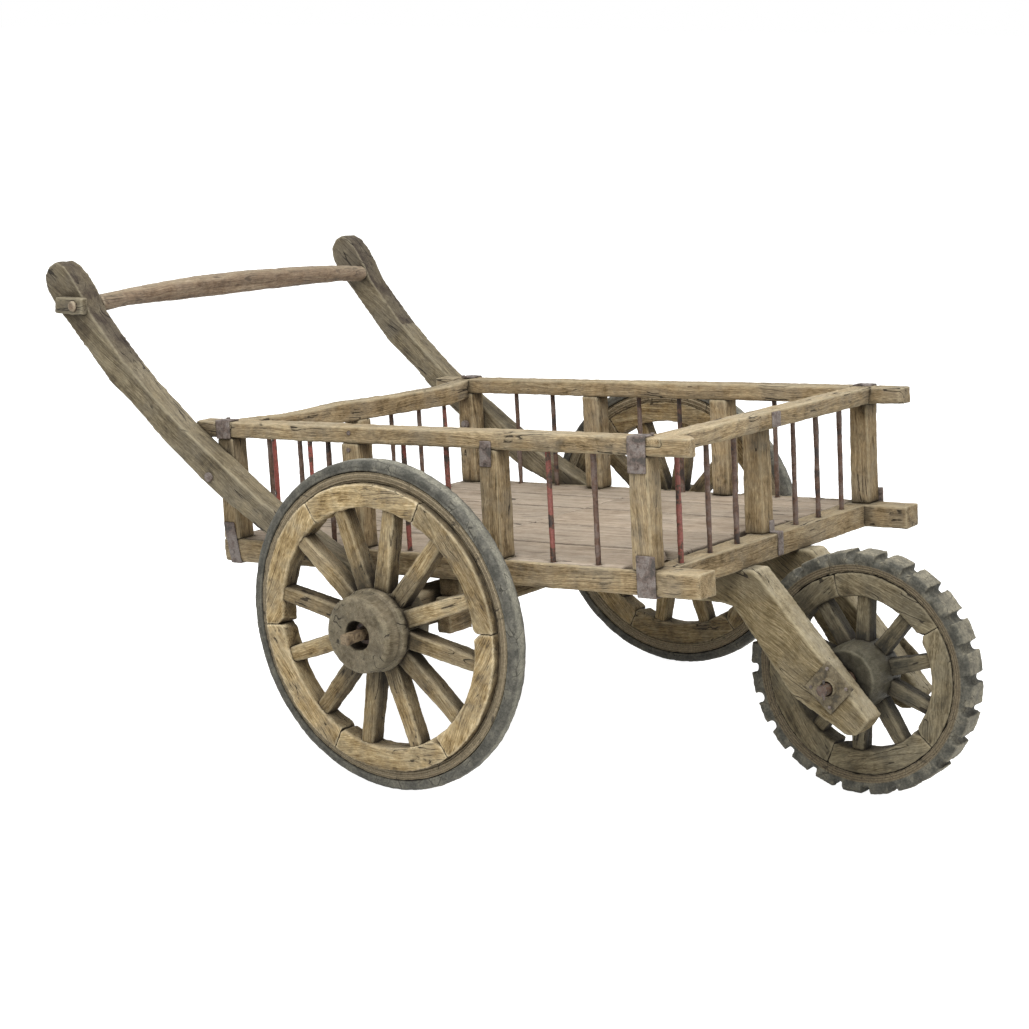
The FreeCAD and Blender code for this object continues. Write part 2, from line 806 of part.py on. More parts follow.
def rear_wheel(side):
    felloe_outer = rear_wheel_radius - rear_tyre_depth - rear_band_depth
    felloe_inner = felloe_outer - rear_felloe_depth
    half = rear_felloe_thickness / 2
    middle = rear_felloe_face - half
    band_outer = felloe_outer + rear_band_depth
    # The rubber sits nearer the cart than the felloes do, so their outer faces stand proud of it.
    tyre = rear_tyre_rubber(band_outer)
    band_half = rear_tyre_width / 2 - 1.0
    band = turned_about_y([
        (felloe_outer, -band_half + 3), (felloe_outer + 9, -band_half), (felloe_outer + 11, -band_half + 2),
        (felloe_outer + 13, -band_half), (band_outer, -band_half), (band_outer, band_half),
        (felloe_outer + 13, band_half), (felloe_outer + 11, band_half - 2), (felloe_outer + 9, band_half),
        (felloe_outer, band_half - 3),
    ])
    tyre = moved(tyre, 0, -rear_tyre_set_in, 0)
    band = moved(band, 0, -rear_tyre_set_in, 0)
    step = 360.0 / rear_spokes
    root = hub_waist_radius - hub_mortise
    spokes = []
    for k in range(rear_spokes):
        angle = rear_spoke_phase + step * k
        spokes.append(spoke(angle, root, felloe_inner + spoke_seat, rear_spoke_root, rear_spoke_tip,
                            rear_spoke_depth, felloe_tenon))
    joint = rear_spoke_phase - step / 2
    felloes = felloe_ring(felloe_inner, felloe_outer, rear_felloe_thickness, rear_felloes, joint)
    face = hub_face - middle
    back = hub_inner_end - middle
    bush_outer = rear_axle_radius + bush_wall
    recess = face - hub_recess_depth
    hub = turned_about_y([
        (bush_outer, back), (hub_back_radius, back), (hub_back_radius + 8, back + 26),
        (hub_waist_radius, -half - 4), (hub_waist_radius, half - 4), (hub_swell_radius - 2, half),
        (hub_swell_radius, half + 6), (hub_swell_radius - 2, half + 16), (hub_face_radius + 1, half + 19),
        (hub_face_radius + 5, half + 24), (hub_face_radius + 3, face - 6), (hub_face_radius - 3, face),
        (hub_recess_radius, face), (hub_recess_radius, recess), (bush_outer, recess),
    ])
    bush = turned_about_y([
        (rear_axle_radius + running_clearance, back), (bush_outer, back), (bush_outer, recess),
        (rear_axle_radius + running_clearance, recess),
    ])
    spokes, felloes, hub = wheel_wood(spokes, felloes, hub)
    pieces = {"tyre": tyre, "band": band, "felloes": felloes, "spokes": spokes, "hub": hub, "bush": bush}
    placed = {}
    for name, piece in pieces.items():
        piece = moved(piece, 0, middle, 0)
        piece = piece if side > 0 else mirrored(piece)
        placed[name] = moved(piece, 0, 0, rear_wheel_radius)
    return placed


def front_wheel():
    felloe_outer = front_wheel_radius - front_tyre_depth
    felloe_inner = felloe_outer - front_felloe_depth
    half = front_felloe_thickness / 2
    wide = front_tyre_width / 2
    base = front_wheel_radius - front_lug_height
    carcass = turned_about_y([
        (felloe_outer, -half), (felloe_outer + 10, -wide + 5), (felloe_outer + 20, -wide + 3),
        (base - 6, -wide + 6), (base, -wide + 14), (base, wide - 14), (base - 6, wide - 6),
        (felloe_outer + 20, wide - 3), (felloe_outer + 10, wide - 5), (felloe_outer, half),
    ])
    pitch = 360.0 / front_lugs
    top = front_wheel_radius
    lug = turned_about_y([
        (felloe_outer + 18, -wide + 8), (felloe_outer + 24, -wide), (top - 8, -wide + 1),
        (top, -wide + lug_bevel), (top, wide - lug_bevel), (top - 8, wide - 1),
        (felloe_outer + 24, wide), (felloe_outer + 18, wide - 8),
    ], pitch * front_lug_share)
    lugs = [spun(lug, pitch * k) for k in range(front_lugs)]
    tyre = carcass.fuse(lugs)
    step = 360.0 / front_spokes
    root = front_hub_radius - front_hub_mortise
    spokes = []
    for k in range(front_spokes):
        angle = front_spoke_phase + step * k
        spokes.append(spoke(angle, root, felloe_inner + spoke_seat, front_spoke_root, front_spoke_tip,
                            front_spoke_depth, felloe_tenon))
    joint = front_spoke_phase + step / 2
    felloes = felloe_ring(felloe_inner, felloe_outer, front_felloe_thickness, front_felloes, joint)
    end = front_hub_length / 2
    bush_outer = front_axle_radius + bush_wall
    hub = turned_about_y([
        (bush_outer, -end), (front_hub_end_radius, -end), (front_hub_end_radius + 8, -end + 18),
        (front_hub_radius, -half + 4), (front_hub_radius, half - 4),
        (front_hub_back_radius, front_hub_back), (bush_outer, front_hub_back),
    ])
    bush = turned_about_y([
        (front_axle_radius + running_clearance, -end), (bush_outer, -end), (bush_outer, end),
        (front_axle_radius + running_clearance, end),
    ])
    spokes, felloes, hub = wheel_wood(spokes, felloes, hub)
    pieces = {"tyre": tyre, "felloes": felloes, "spokes": spokes, "hub": hub, "bush": bush}
    return {name: moved(piece, wheel_base, 0, front_axle_z) for name, piece in pieces.items()}


def bed_pieces():
    side_rods, end_rods = rod_places()
    holes = rod_holes(side_rods + end_rods)
    bolts = bolt_holes()
    space = floor_space()
    pieces = {}

    posts = {spot[0]: post_solid(*spot) for spot in post_footprints()}
    post_list = list(posts.values())

    cross = bottom_cross_rail(front_crossrail_back, front_crossrail_face, floor_top)
    rear_cross = bottom_cross_rail(bottom_rail_rear, rear_crossrail_face, floor_top)
    for side, name in ((-1, "right"), (1, "left")):
        front = right_bottom_front if side < 0 else left_bottom_front
        rail = bottom_side_rail(side, front).cut([space, cross, rear_cross] + post_list)
        pieces[f"{name}_bottom_rail"] = rail.cut(holes + bolts)
        front = right_top_front if side < 0 else left_top_front
        nose = right_nose_inner if side < 0 else top_rail_nose
        rail = top_side_rail(side, front, nose).cut(post_list)
        pieces[f"{name}_top_rail"] = rail.cut(holes)
    pieces["front_bottom_rail"] = cross.cut([space] + post_list).cut(holes)
    pieces["rear_bottom_rail"] = rear_cross.cut([space] + post_list).cut(holes)
    pieces["front_top_rail"] = front_top_rail().cut(post_list).cut(holes)
    pieces["rear_top_rail"] = rear_top_rail().cut(post_list).cut(holes)
    for name, post in posts.items():
        pieces[name] = post.cut(bolts)

    pieces.update(floor_boards(space, holes))
    pieces["floor_joists"] = group(joists())
    pieces["side_rods"] = rods(side_rods)
    pieces["end_rods"] = rods(end_rods)
    pieces["corner_straps"] = group(corner_straps())

    bar = handle_bar()
    keys = []
    for side, name in ((-1, "right"), (1, "left")):
        pieces[f"handle_arm_{name}"] = handle_arm(side).cut([bar] + bolts)
        keys.append(handle_key(side).cut(bar))
    pieces["handle_bar"] = bar
    pieces["handle_keys"] = group(keys)
    pieces["arm_bolts"] = group(arm_bolts())

    beam = axle_beam()
    pieces["cross_beam"] = cross_beam()
    pieces["axle_beam"] = beam
    cotters = front_cotters()
    pieces["front_axle"] = front_axle().cut(cotters)
    pieces["front_cotters"] = group(cotters)
    flanges = []
    heads = nail_heads()
    for side, name in ((-1, "right"), (1, "left")):
        pieces[f"fork_arm_{name}"] = fork_arm(side)
        plate, plate_heads = flange(side)
        flanges.append(plate)
        heads += plate_heads
    pieces["fork_flanges"] = group(flanges)
    pieces["nail_heads"] = group(heads)
    for name, piece in front_wheel().items():
        pieces[f"front_wheel_{name}"] = piece
    return pieces


def cart():
    pieces = {name: seated(piece) for name, piece in bed_pieces().items()}
    axle = moved(rear_axle(), 0, 0, rear_wheel_radius)
    pieces["axle_beam"] = pieces["axle_beam"].cut(axle)
    pieces["rear_axle"] = axle
    pieces["axle_collars"] = moved(axle_collars(), 0, 0, rear_wheel_radius)
    for side, name in ((-1, "right"), (1, "left")):
        for part, piece in rear_wheel(side).items():
            pieces[f"{name}_wheel_{part}"] = piece
    # The origin lies under the middle of the cart's length.
    rear = pieces["handle_arm_right"].optimalBoundingBox().XMin
    rear = min(rear, pieces["handle_arm_left"].optimalBoundingBox().XMin)
    front = pieces["front_wheel_tyre"].optimalBoundingBox().XMax
    shift = -(rear + front) / 2
    return {name: moved(piece, shift, 0, 0) for name, piece in pieces.items()}, shift


os.makedirs("parts", exist_ok=True)
pieces, shift = cart()
for name, piece in pieces.items():
    solids = piece.Solids
    piece = solids[0] if len(solids) == 1 else Part.makeCompound(solids)
    piece.exportStep(f"parts/{name}.step")
print(len(pieces), "nodes, rear axle at x", round(shift, 2), "front axle height", round(front_axle_z, 2))
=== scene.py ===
import math
import random

import bpy
import numpy as np
from mathutils import Matrix, Vector


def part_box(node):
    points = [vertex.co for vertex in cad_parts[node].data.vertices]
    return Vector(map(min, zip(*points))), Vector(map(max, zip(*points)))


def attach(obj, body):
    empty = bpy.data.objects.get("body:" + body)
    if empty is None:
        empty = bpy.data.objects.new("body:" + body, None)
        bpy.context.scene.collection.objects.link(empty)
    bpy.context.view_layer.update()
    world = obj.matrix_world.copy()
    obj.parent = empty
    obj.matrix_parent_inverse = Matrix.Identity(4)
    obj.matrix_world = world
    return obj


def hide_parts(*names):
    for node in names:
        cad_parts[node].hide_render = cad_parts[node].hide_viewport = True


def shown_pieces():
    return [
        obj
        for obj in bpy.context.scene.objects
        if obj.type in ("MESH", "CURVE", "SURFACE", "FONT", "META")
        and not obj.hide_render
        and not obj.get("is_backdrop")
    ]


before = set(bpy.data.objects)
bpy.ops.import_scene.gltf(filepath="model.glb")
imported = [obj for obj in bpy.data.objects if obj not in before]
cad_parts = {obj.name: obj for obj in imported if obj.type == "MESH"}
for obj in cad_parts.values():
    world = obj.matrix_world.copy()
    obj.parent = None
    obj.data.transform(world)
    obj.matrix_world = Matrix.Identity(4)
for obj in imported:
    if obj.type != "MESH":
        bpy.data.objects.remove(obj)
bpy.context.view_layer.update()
print("stage: the packed cart is loaded")

# How the bed sits, in degrees, and how far out the rear wheels' middles are, in metres
bedSeat = {"noseUp": 4.67, "leanLeft": 1.75}
wheelSeat = {"middleOut": 0.558}


def nodeMiddle(nodeName):
    low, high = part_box(nodeName)
    return (low + high) / 2


axleMiddle = nodeMiddle("rear_axle")
bedTurn = Matrix.Rotation(math.radians(-bedSeat["leanLeft"]), 4, "X")
bedTurn = bedTurn @ Matrix.Rotation(math.radians(-bedSeat["noseUp"]), 4, "Y")
bedFrame = Matrix.Translation(axleMiddle) @ bedTurn
halfTurn = Matrix.Rotation(math.pi, 4, "Z")
# Each wheel's frame has its axle along y, with the outer face on the +y side
wheelFrames = {
    "right_wheel": Matrix.Translation(axleMiddle + Vector((0, -wheelSeat["middleOut"], 0))) @ halfTurn,
    "left_wheel": Matrix.Translation(axleMiddle + Vector((0, wheelSeat["middleOut"], 0))),
    "front_wheel": Matrix.Translation(nodeMiddle("front_axle")) @ bedTurn @ halfTurn,
}
# Turns that lay a piece on the bench with its grain along x
grainTurns = {
    "x": Matrix.Identity(4),
    "y": Matrix.Rotation(math.radians(90), 4, "Z"),
    "z": Matrix.Rotation(math.radians(-90), 4, "Y"),
}

# The camera of the photograph, in metres and degrees
cameraView = {
    "place": (2.8140, -3.9391, 1.6234), "turn": 34.83, "down": 14.34,
    "lens": 78.52, "sensor": 36.0, "shiftX": -0.0626, "shiftY": 0.0389,
}


def placeCamera(view):
    turn, down = math.radians(view["turn"]), math.radians(view["down"])
    back = Vector((math.sin(turn) * math.cos(down), -math.cos(turn) * math.cos(down), math.sin(down)))
    right = Vector((math.cos(turn), math.sin(turn), 0))
    up = back.cross(right)
    bpy.ops.object.camera_add()
    camera = bpy.context.object
    camera.name = "photoCamera"
    camera.matrix_world = Matrix.Translation(view["place"]) @ Matrix((right, up, back)).transposed().to_4x4()
    camera.data.sensor_width = view["sensor"]
    camera.data.lens = view["lens"]
    camera.data.shift_x = view["shiftX"]
    camera.data.shift_y = view["shiftY"]
    bpy.context.scene.camera = camera


placeCamera(cameraView)
bpy.context.scene.view_settings.view_transform = "Standard"
print("stage: the camera stands where the photograph was taken")


def linearColour(hexCode):
    channels = [int(hexCode[i:i + 2], 16) / 255 for i in (1, 3, 5)]
    return [c / 12.92 if c <= 0.04045 else ((c + 0.055) / 1.055) ** 2.4 for c in channels] + [1.0]


def addNode(tree, kind, settings):
    # One node. A setting is a socket's value, another node's output to link, or a property of the node
    node = tree.nodes.new(kind)
    for key, value in settings.items():
        if key == "ramp":
            stops = node.color_ramp.elements
            while len(stops) < len(value):
                stops.new(0.5)
            for stop, (place, colour) in zip(stops, value):
                stop.position = place
                stop.color = linearColour(colour)
        elif isinstance(value, bpy.types.NodeSocket):
            tree.links.new(value, node.inputs[key])
        elif isinstance(key, int) or key in node.inputs:
            node.inputs[key].default_value = linearColour(value) if isinstance(value, str) else value
        else:
            setattr(node, key, value)
    return node


def newMaterial(name):
    material = bpy.data.materials.new(name)
    material.use_nodes = True
    return material, material.node_tree, material.node_tree.nodes["Principled BSDF"]


# Where a pattern's shift takes it, how rough its noise is, and the middle of what it gives
streakForm = {"shift": (1.0, 0.7, 0.3), "roughness": 0.65, "middle": 0.5}


def streak(tree, grain, sizes, detail, shift=0.0):
    # A mottled pattern whose patches have these sizes in millimetres, along the grain and across it
    place = addNode(tree, "ShaderNodeMapping", {
        "Location": [shift * part for part in streakForm["shift"]],
        "Scale": [1000.0 / size for size in sizes], "Vector": grain})
    pattern = addNode(tree, "ShaderNodeTexNoise", {
        "Scale": 1.0, "Detail": detail, "Roughness": streakForm["roughness"],
        "Vector": place.outputs["Vector"]})
    return pattern.outputs["Fac"]


def paintLayers(tree, colour, layers):
    # Lays each colour over the last: how much of it, which colour, and how it blends
    for share, over, mode in layers:
        colour = addNode(tree, "ShaderNodeMix", {
            "data_type": "RGBA", "blend_type": mode, 0: share, 6: colour, 7: over}).outputs[2]
    return colour


# Weathered oak, sawn and hewn by hand, then left outdoors: dull, furrowed along the grain, darker in
# the corners with dirt and painted shade, paler on the edges that hands and loads rub. First what every oak
# finish shares, then what sets each one apart. Sizes are in millimetres, along the grain and across it
oakBase = {
    "grime": "#5a4d38", "pale": "#d6c8a8", "grey": "#9c927f", "greyShare": 0.45, "grimeShare": 0.6,
    "edge": 0.6, "corner": "#2c2418", "split": "#1c150d", "soil": "#3f3629", "bleachedAndLit": "#cfc1a3",
    "bleachAndToplightShare": 0.4, "spread": 1.15, "fibre": (180, 2.6, 2.6), "band": (420, 18, 18),
    "pore": (16, 1.6, 1.6), "poreShades": (0.82, 1.16), "blotch": 46, "wander": 0.03, "wanderSize": 190,
    "check": (360, 17, 17), "checkWidth": 0.014, "checkShare": 0.85, "cornerDirtAndShadeReach": 0.04,
    "cornerShare": 0.85, "roughness": 0.82, "tree": (0.9, 1.1),
}
woodLooks = {
    "bedOak": {"tones": ("#56472f", "#8a7656", "#aa9471", "#cdb993")},
    "floorOak": {
        "tones": ("#756554", "#a2917d", "#bbaa96", "#d6c9b8"), "grime": "#82725f", "pale": "#dacfbf",
        "grey": "#b2a899", "edge": 0.25, "fibre": (260, 3, 3), "blotch": 90, "check": (700, 34, 34),
        "spread": 1.7, "poreShades": (0.9, 1.08), "greyShare": 0.3, "checkWidth": 0.01,
        "wanderSize": 300, "bleachAndToplightShare": 0.0,
    },
    "wheelOak": {
        "tones": ("#4b3c26", "#846f4b", "#a6916b", "#c9b791"), "grime": "#5f4e33", "pale": "#ecdcb8",
        "grey": "#908672", "corner": "#221a10", "soil": "#4b4537", "cornerDirtAndShadeReach": 0.11, "cornerShare": 0.95,
        "blotch": 38, "fibre": (120, 2.6, 2.6), "check": (220, 13, 13), "tree": (0.8, 1.46),
        "roughness": 0.76, "bleachAndToplightShare": 0.3,
    },
    "hubOak": {
        "tones": ("#3c3425", "#665c48", "#817661", "#9c9179"), "grime": "#40382a", "pale": "#b5a98a",
        "grey": "#76705e", "corner": "#1c160f", "cornerDirtAndShadeReach": 0.07, "cornerShare": 0.9, "blotch": 40,
        "fibre": (20, 9, 9), "band": (60, 30, 30), "check": (120, 24, 24), "checkWidth": 0.018,
        "spread": 1.6, "roughness": 0.62, "bleachAndToplightShare": 0.0,
    },
    "frontWheelOak": {
        "tones": ("#3f3728", "#675c45", "#867a60", "#a3987b"), "grime": "#433a28", "pale": "#b8ac8f",
        "grey": "#757060", "corner": "#1c160d", "soil": "#34342e", "cornerDirtAndShadeReach": 0.09, "cornerShare": 0.9,
        "blotch": 40, "fibre": (120, 2.6, 2.6), "check": (220, 14, 14), "roughness": 0.75,
        "bleachAndToplightShare": 0.15,
    },
    "frontHubOak": {
        "tones": ("#35301f", "#4b4739", "#5e594a", "#767161"), "grime": "#2f2a1f", "pale": "#8f8972",
        "grey": "#5b594d", "corner": "#15110a", "cornerDirtAndShadeReach": 0.05, "cornerShare": 0.9, "spread": 1.8,
        "fibre": (20, 12, 12), "band": (60, 30, 30), "check": (120, 26, 26), "checkShare": 0.5,
        "roughness": 0.5, "bleachAndToplightShare": 0.0,
    },
    "armOak": {
        "tones": ("#41382a", "#6a5f49", "#867a61", "#a69a7f"), "grime": "#443b2a", "pale": "#c2b89d",
        "grey": "#857d6d", "greyShare": 0.5, "fibre": (220, 2.8, 2.8), "blotch": 56, "roughness": 0.7,
        "soil": "#3d322a", "bleachAndToplightShare": 0.1,
    },
    "forkOak": {
        "tones": ("#443923", "#6f6144", "#8a7b5c", "#ae9f7e"), "grime": "#483c27", "pale": "#cdc0a0",
        "grey": "#837a66", "fibre": (170, 2.8, 2.8), "blotch": 50, "wander": 0.06, "bleachedAndLit": "#d6caae",
        "bleachAndToplightShare": 0.75,
    },
    "barPole": {
        "tones": ("#48392b", "#786450", "#98846d", "#c0af95"), "grime": "#594635", "pale": "#d2c4aa",
        "grey": "#8c8070", "greyShare": 0.3, "fibre": (140, 3, 3), "band": (240, 12, 12), "blotch": 30,
        "spread": 1.5, "poreShades": (0.9, 1.1), "checkShare": 0.4,
        "roughness": 0.6, "bleachAndToplightShare": 0.3,
    },
}

# How the patterns of an oak finish combine. Each pattern runs from 0 to 1 and mostly stays near 0.5; a range
# says from where to where on a pattern, on the form or on the openness of a corner an effect comes in
oakMix = {
    "detail": {"fibre": 6.0, "band": 3.0, "blotch": 5.0, "stain": 4.0, "pore": 3.0, "check": 0.5},
    "shift": {"fibre": 0.0, "band": 3.1, "blotch": 7.7, "stain": 1.9, "pore": 5.3, "check": 11.3},
    "weights": {"fibre": 0.45, "band": 0.35, "blotch": 0.45, "pore": 0.15}, "offset": -0.2,
    "toneSteps": (-0.11, -0.04, 0.03, 0.12), "stainSize": 2.3, "greyRange": (0.44, 0.60),
    "grimeRange": (0.53, 0.68), "poreRange": (0.38, 0.62), "edgeRange": (0.512, 0.58),
    "cornerRange": (0.93, 0.4), "checkRange": (0.53, 0.57), "unevenRange": (0.62, 0.4), "unevenLeast": 0.35,
    "soilShare": 0.9, "roughnessSpread": (-0.1, 0.14), "poreHeight": 0.6, "checkDepth": -1.2,
    "bumpStrength": 0.9, "bumpHeight": 0.0026, "shine": 0.3, "cornerDirtAndShadeSamples": 6,
}


def weatheredOak(name, look):
    material, tree, shader = newMaterial(name)
    mix = oakMix
    straight = addNode(tree, "ShaderNodeAttribute", {"attribute_name": "grain"}).outputs["Vector"]
    tone = addNode(tree, "ShaderNodeAttribute", {"attribute_name": "tone"}).outputs["Fac"]
    # The grain wanders a little, as it does in a hewn timber
    wander = addNode(tree, "ShaderNodeTexNoise", {"Scale": 1000.0 / look["wanderSize"], "Detail": 1.0,
                                                  "Vector": straight}).outputs["Color"]
    sideways = (0.0, look["wander"], look["wander"])
    grain = addNode(tree, "ShaderNodeVectorMath", {
        "operation": "MULTIPLY_ADD", 0: wander, 1: sideways, 2: straight}).outputs[0]
    sizes = {kind: look[kind] for kind in ("fibre", "band", "pore", "check")}
    sizes["blotch"] = [look["blotch"]] * 3
    sizes["stain"] = [look["blotch"] * mix["stainSize"]] * 3
    pattern = {kind: streak(tree, grain, sizes[kind], mix["detail"][kind], mix["shift"][kind])
               for kind in ("fibre", "band", "blotch", "stain", "pore", "check")}
    # Growth bands, fibres, patches and pores together pick the tone
    level = mix["offset"]
    for kind, weight in mix["weights"].items():
        level = addNode(tree, "ShaderNodeMath", {"operation": "MULTIPLY_ADD", 0: pattern[kind], 1: weight,
                                                 2: level}).outputs[0]
    steps = [streakForm["middle"] + step * look["spread"] for step in mix["toneSteps"]]
    colour = addNode(tree, "ShaderNodeValToRGB", {
        "ramp": list(zip(steps, look["tones"])), "Fac": level}).outputs["Color"]
    # Rubbed edges are paler; hollows and inside corners get dirt and painted shade, darkest where least is
    # open
    form = addNode(tree, "ShaderNodeNewGeometry", {}).outputs["Pointiness"]
    corner = addNode(tree, "ShaderNodeAmbientOcclusion", {
        "samples": mix["cornerDirtAndShadeSamples"], "Distance": look["cornerDirtAndShadeReach"]}).outputs["AO"]
    shares = {}
    effects = {
        "grey": (pattern["stain"], "greyShare"), "grime": (pattern["blotch"], "grimeShare"),
        "edge": (form, "edge"), "corner": (corner, "cornerShare"), "check": (pattern["stain"], "checkShare"),
    }
    for effect, (source, most) in effects.items():
        start, end = mix[effect + "Range"]
        shares[effect] = addNode(tree, "ShaderNodeMapRange", {
            "Value": source, "From Min": start, "From Max": end, "To Max": look[most]}).outputs[0]
    start, end = mix["poreRange"]
    least, most = look["poreShades"]
    pores = addNode(tree, "ShaderNodeMapRange", {"Value": pattern["pore"], "From Min": start, "From Max": end,
                                                 "To Min": least, "To Max": most}).outputs[0]
    # Drying checks: thin dark splits that run with the grain and come and go
    onLine = addNode(tree, "ShaderNodeMath", {
        "operation": "COMPARE", 0: pattern["check"], 1: streakForm["middle"],
        2: look["checkWidth"]}).outputs[0]
    check = addNode(tree, "ShaderNodeMath", {"operation": "MULTIPLY", 0: onLine,
                                             1: shares["check"]}).outputs[0]
    # What the weather bleaches on upward faces, together with painted light from above, and what hands or
    # hubs soil is written on each piece's points
    weatheredAndLit = {}
    for amount, share in (("bleach", look["bleachAndToplightShare"]), ("soil", mix["soilShare"])):
        level = addNode(tree, "ShaderNodeAttribute", {"attribute_name": amount}).outputs["Fac"]
        level = addNode(tree, "ShaderNodeMath", {"operation": "MULTIPLY", 0: level, 1: share}).outputs[0]
        start, end = mix["unevenRange"]
        uneven = addNode(tree, "ShaderNodeMapRange", {
            "Value": pattern["blotch"], "From Min": start, "From Max": end,
            "To Min": mix["unevenLeast"]}).outputs[0]
        weatheredAndLit[amount] = addNode(tree, "ShaderNodeMath", {"operation": "MULTIPLY", 0: level,
                                                             1: uneven}).outputs[0]
    least, most = look["tree"]
    shade = addNode(tree, "ShaderNodeMapRange", {"Value": tone, "To Min": least, "To Max": most}).outputs[0]
    colour = paintLayers(tree, colour, (
        (shares["grey"], look["grey"], "MIX"), (weatheredAndLit["bleach"], look["bleachedAndLit"], "MIX"),
        (shares["grime"], look["grime"], "MIX"), (weatheredAndLit["soil"], look["soil"], "MIX"),
        (1.0, pores, "MULTIPLY"), (shares["edge"], look["pale"], "MIX"),
        (shares["corner"], look["corner"], "MIX"), (check, look["split"], "MIX"), (1.0, shade, "MULTIPLY")))
    least, most = [look["roughness"] + spread for spread in mix["roughnessSpread"]]
    rough = addNode(tree, "ShaderNodeMapRange", {"Value": pattern["fibre"], "To Min": least,
                                                 "To Max": most}).outputs[0]
    height = addNode(tree, "ShaderNodeMath", {"operation": "MULTIPLY_ADD", 0: pattern["pore"],
                                              1: mix["poreHeight"], 2: pattern["fibre"]}).outputs[0]
    height = addNode(tree, "ShaderNodeMath", {"operation": "MULTIPLY_ADD", 0: check, 1: mix["checkDepth"],
                                              2: height}).outputs[0]
    bump = addNode(tree, "ShaderNodeBump", {"Strength": mix["bumpStrength"], "Distance": mix["bumpHeight"],
                                            "Height": height})
    shader.inputs["Specular IOR Level"].default_value = mix["shine"]
    tree.links.new(colour, shader.inputs["Base Color"])
    tree.links.new(rough, shader.inputs["Roughness"])
    tree.links.new(bump.outputs["Normal"], shader.inputs["Normal"])
    return material


# Old iron, forged and rusted, rubbed smooth by hands: a dull grey-brown skin. Red lead is left on some rods.
# Sizes of patches and grit in millimetres
ironLooks = {
    "rustedIron": {"skin": "#837a74", "rust": "#6f6159", "dark": "#4a443f",
                   "patch": 22, "grit": 3, "roughness": 0.6},
    "flangeIron": {"skin": "#7a6f58", "rust": "#645943", "dark": "#433b2c",
                   "patch": 18, "grit": 3, "roughness": 0.6},
    "axleIron": {"skin": "#86755c", "rust": "#6a5942", "dark": "#45392b",
                 "patch": 16, "grit": 3, "roughness": 0.6},
    "rodIron": {"skin": "#6d5d54", "rust": "#604738", "dark": "#352c28", "paint": "#9b5047",
                "patch": 30, "grit": 4, "roughness": 0.55},
    "greasyIron": {"skin": "#5a5047", "rust": "#5a4335", "dark": "#26211c",
                   "patch": 14, "grit": 2.5, "roughness": 0.42},
}

# How the patterns of the iron combine: ranges and shades as for oak
ironMix = {
    "patchDetail": 5.0, "gritDetail": 4.0, "gritShift": 2.2, "toneSteps": (0.38, 0.48, 0.58),
    "gritRange": (0.35, 0.65), "gritShades": (0.7, 1.25), "flakeRange": (0.46, 0.5),
    "roughnessSpread": (-0.15, 0.25), "bumpStrength": 0.6, "bumpHeight": 0.001,
}


def oldIron(name, look):
    material, tree, shader = newMaterial(name)
    mix = ironMix
    place = addNode(tree, "ShaderNodeTexCoord", {}).outputs["Object"]
    patch = streak(tree, place, [look["patch"]] * 3, mix["patchDetail"])
    grit = streak(tree, place, [look["grit"]] * 3, mix["gritDetail"], mix["gritShift"])
    tones = (look["dark"], look["rust"], look["skin"])
    colour = addNode(tree, "ShaderNodeValToRGB", {
        "ramp": list(zip(mix["toneSteps"], tones)), "Fac": patch}).outputs["Color"]
    if "paint" in look:
        # Most of the paint has flaked off
        painted = addNode(tree, "ShaderNodeAttribute", {"attribute_name": "paint"}).outputs["Fac"]
        start, end = mix["flakeRange"]
        flake = addNode(tree, "ShaderNodeMapRange", {"Value": patch, "From Min": start,
                                                     "From Max": end}).outputs[0]
        kept = addNode(tree, "ShaderNodeMath", {"operation": "MULTIPLY", 0: painted, 1: flake}).outputs[0]
        colour = paintLayers(tree, colour, ((kept, look["paint"], "MIX"),))
    (start, end), (least, most) = mix["gritRange"], mix["gritShades"]
    speckle = addNode(tree, "ShaderNodeMapRange", {"Value": grit, "From Min": start, "From Max": end,
                                                   "To Min": least, "To Max": most}).outputs[0]
    colour = paintLayers(tree, colour, ((1.0, speckle, "MULTIPLY"),))
    least, most = [look["roughness"] + spread for spread in mix["roughnessSpread"]]
    rough = addNode(tree, "ShaderNodeMapRange", {"Value": grit, "To Min": least, "To Max": most}).outputs[0]
    bump = addNode(tree, "ShaderNodeBump", {"Strength": mix["bumpStrength"], "Distance": mix["bumpHeight"],
                                            "Height": grit})
    tree.links.new(colour, shader.inputs["Base Color"])
    tree.links.new(rough, shader.inputs["Roughness"])
    tree.links.new(bump.outputs["Normal"], shader.inputs["Normal"])
    return material


# Solid rubber, moulded, perished and dusty: dark sides, a worn pale tread, fine cracks. The tread and the
# brown foot with its moulded rings are told apart by radius, in metres: a foot up to 0 is no part of the
# ring and one up to 0.4 is all of it. Blotches and cracks in millimetres
rubberLooks = {
    "rearRubber": {"tones": ("#484740", "#5f5d55", "#787569"), "worn": "#c4c0ad", "wornShare": 0.7,
                   "treadFrom": 0.3452, "foot": "#6f6350", "footTo": 0.0, "blotch": 34, "crackSize": 30,
                   "hollowDirtAndShadeShare": 0.75, "roughness": 0.7},
    "tyreBase": {"tones": ("#645844", "#877960", "#a0927a"), "worn": "#a39679", "wornShare": 0.4,
                 "treadFrom": 0.4, "foot": "#a5967b", "footTo": 0.4, "blotch": 50, "crackSize": 60,
                 "hollowDirtAndShadeShare": 0.35, "roughness": 0.62},
    "frontRubber": {"tones": ("#42413a", "#5b5950", "#7a7566"), "worn": "#a79f8a", "wornShare": 0.6,
                    "treadFrom": 0.2500, "foot": "#7a6c54", "footTo": 0.2275, "blotch": 26, "crackSize": 24,
                    "hollowDirtAndShadeShare": 0.75, "roughness": 0.72},
}

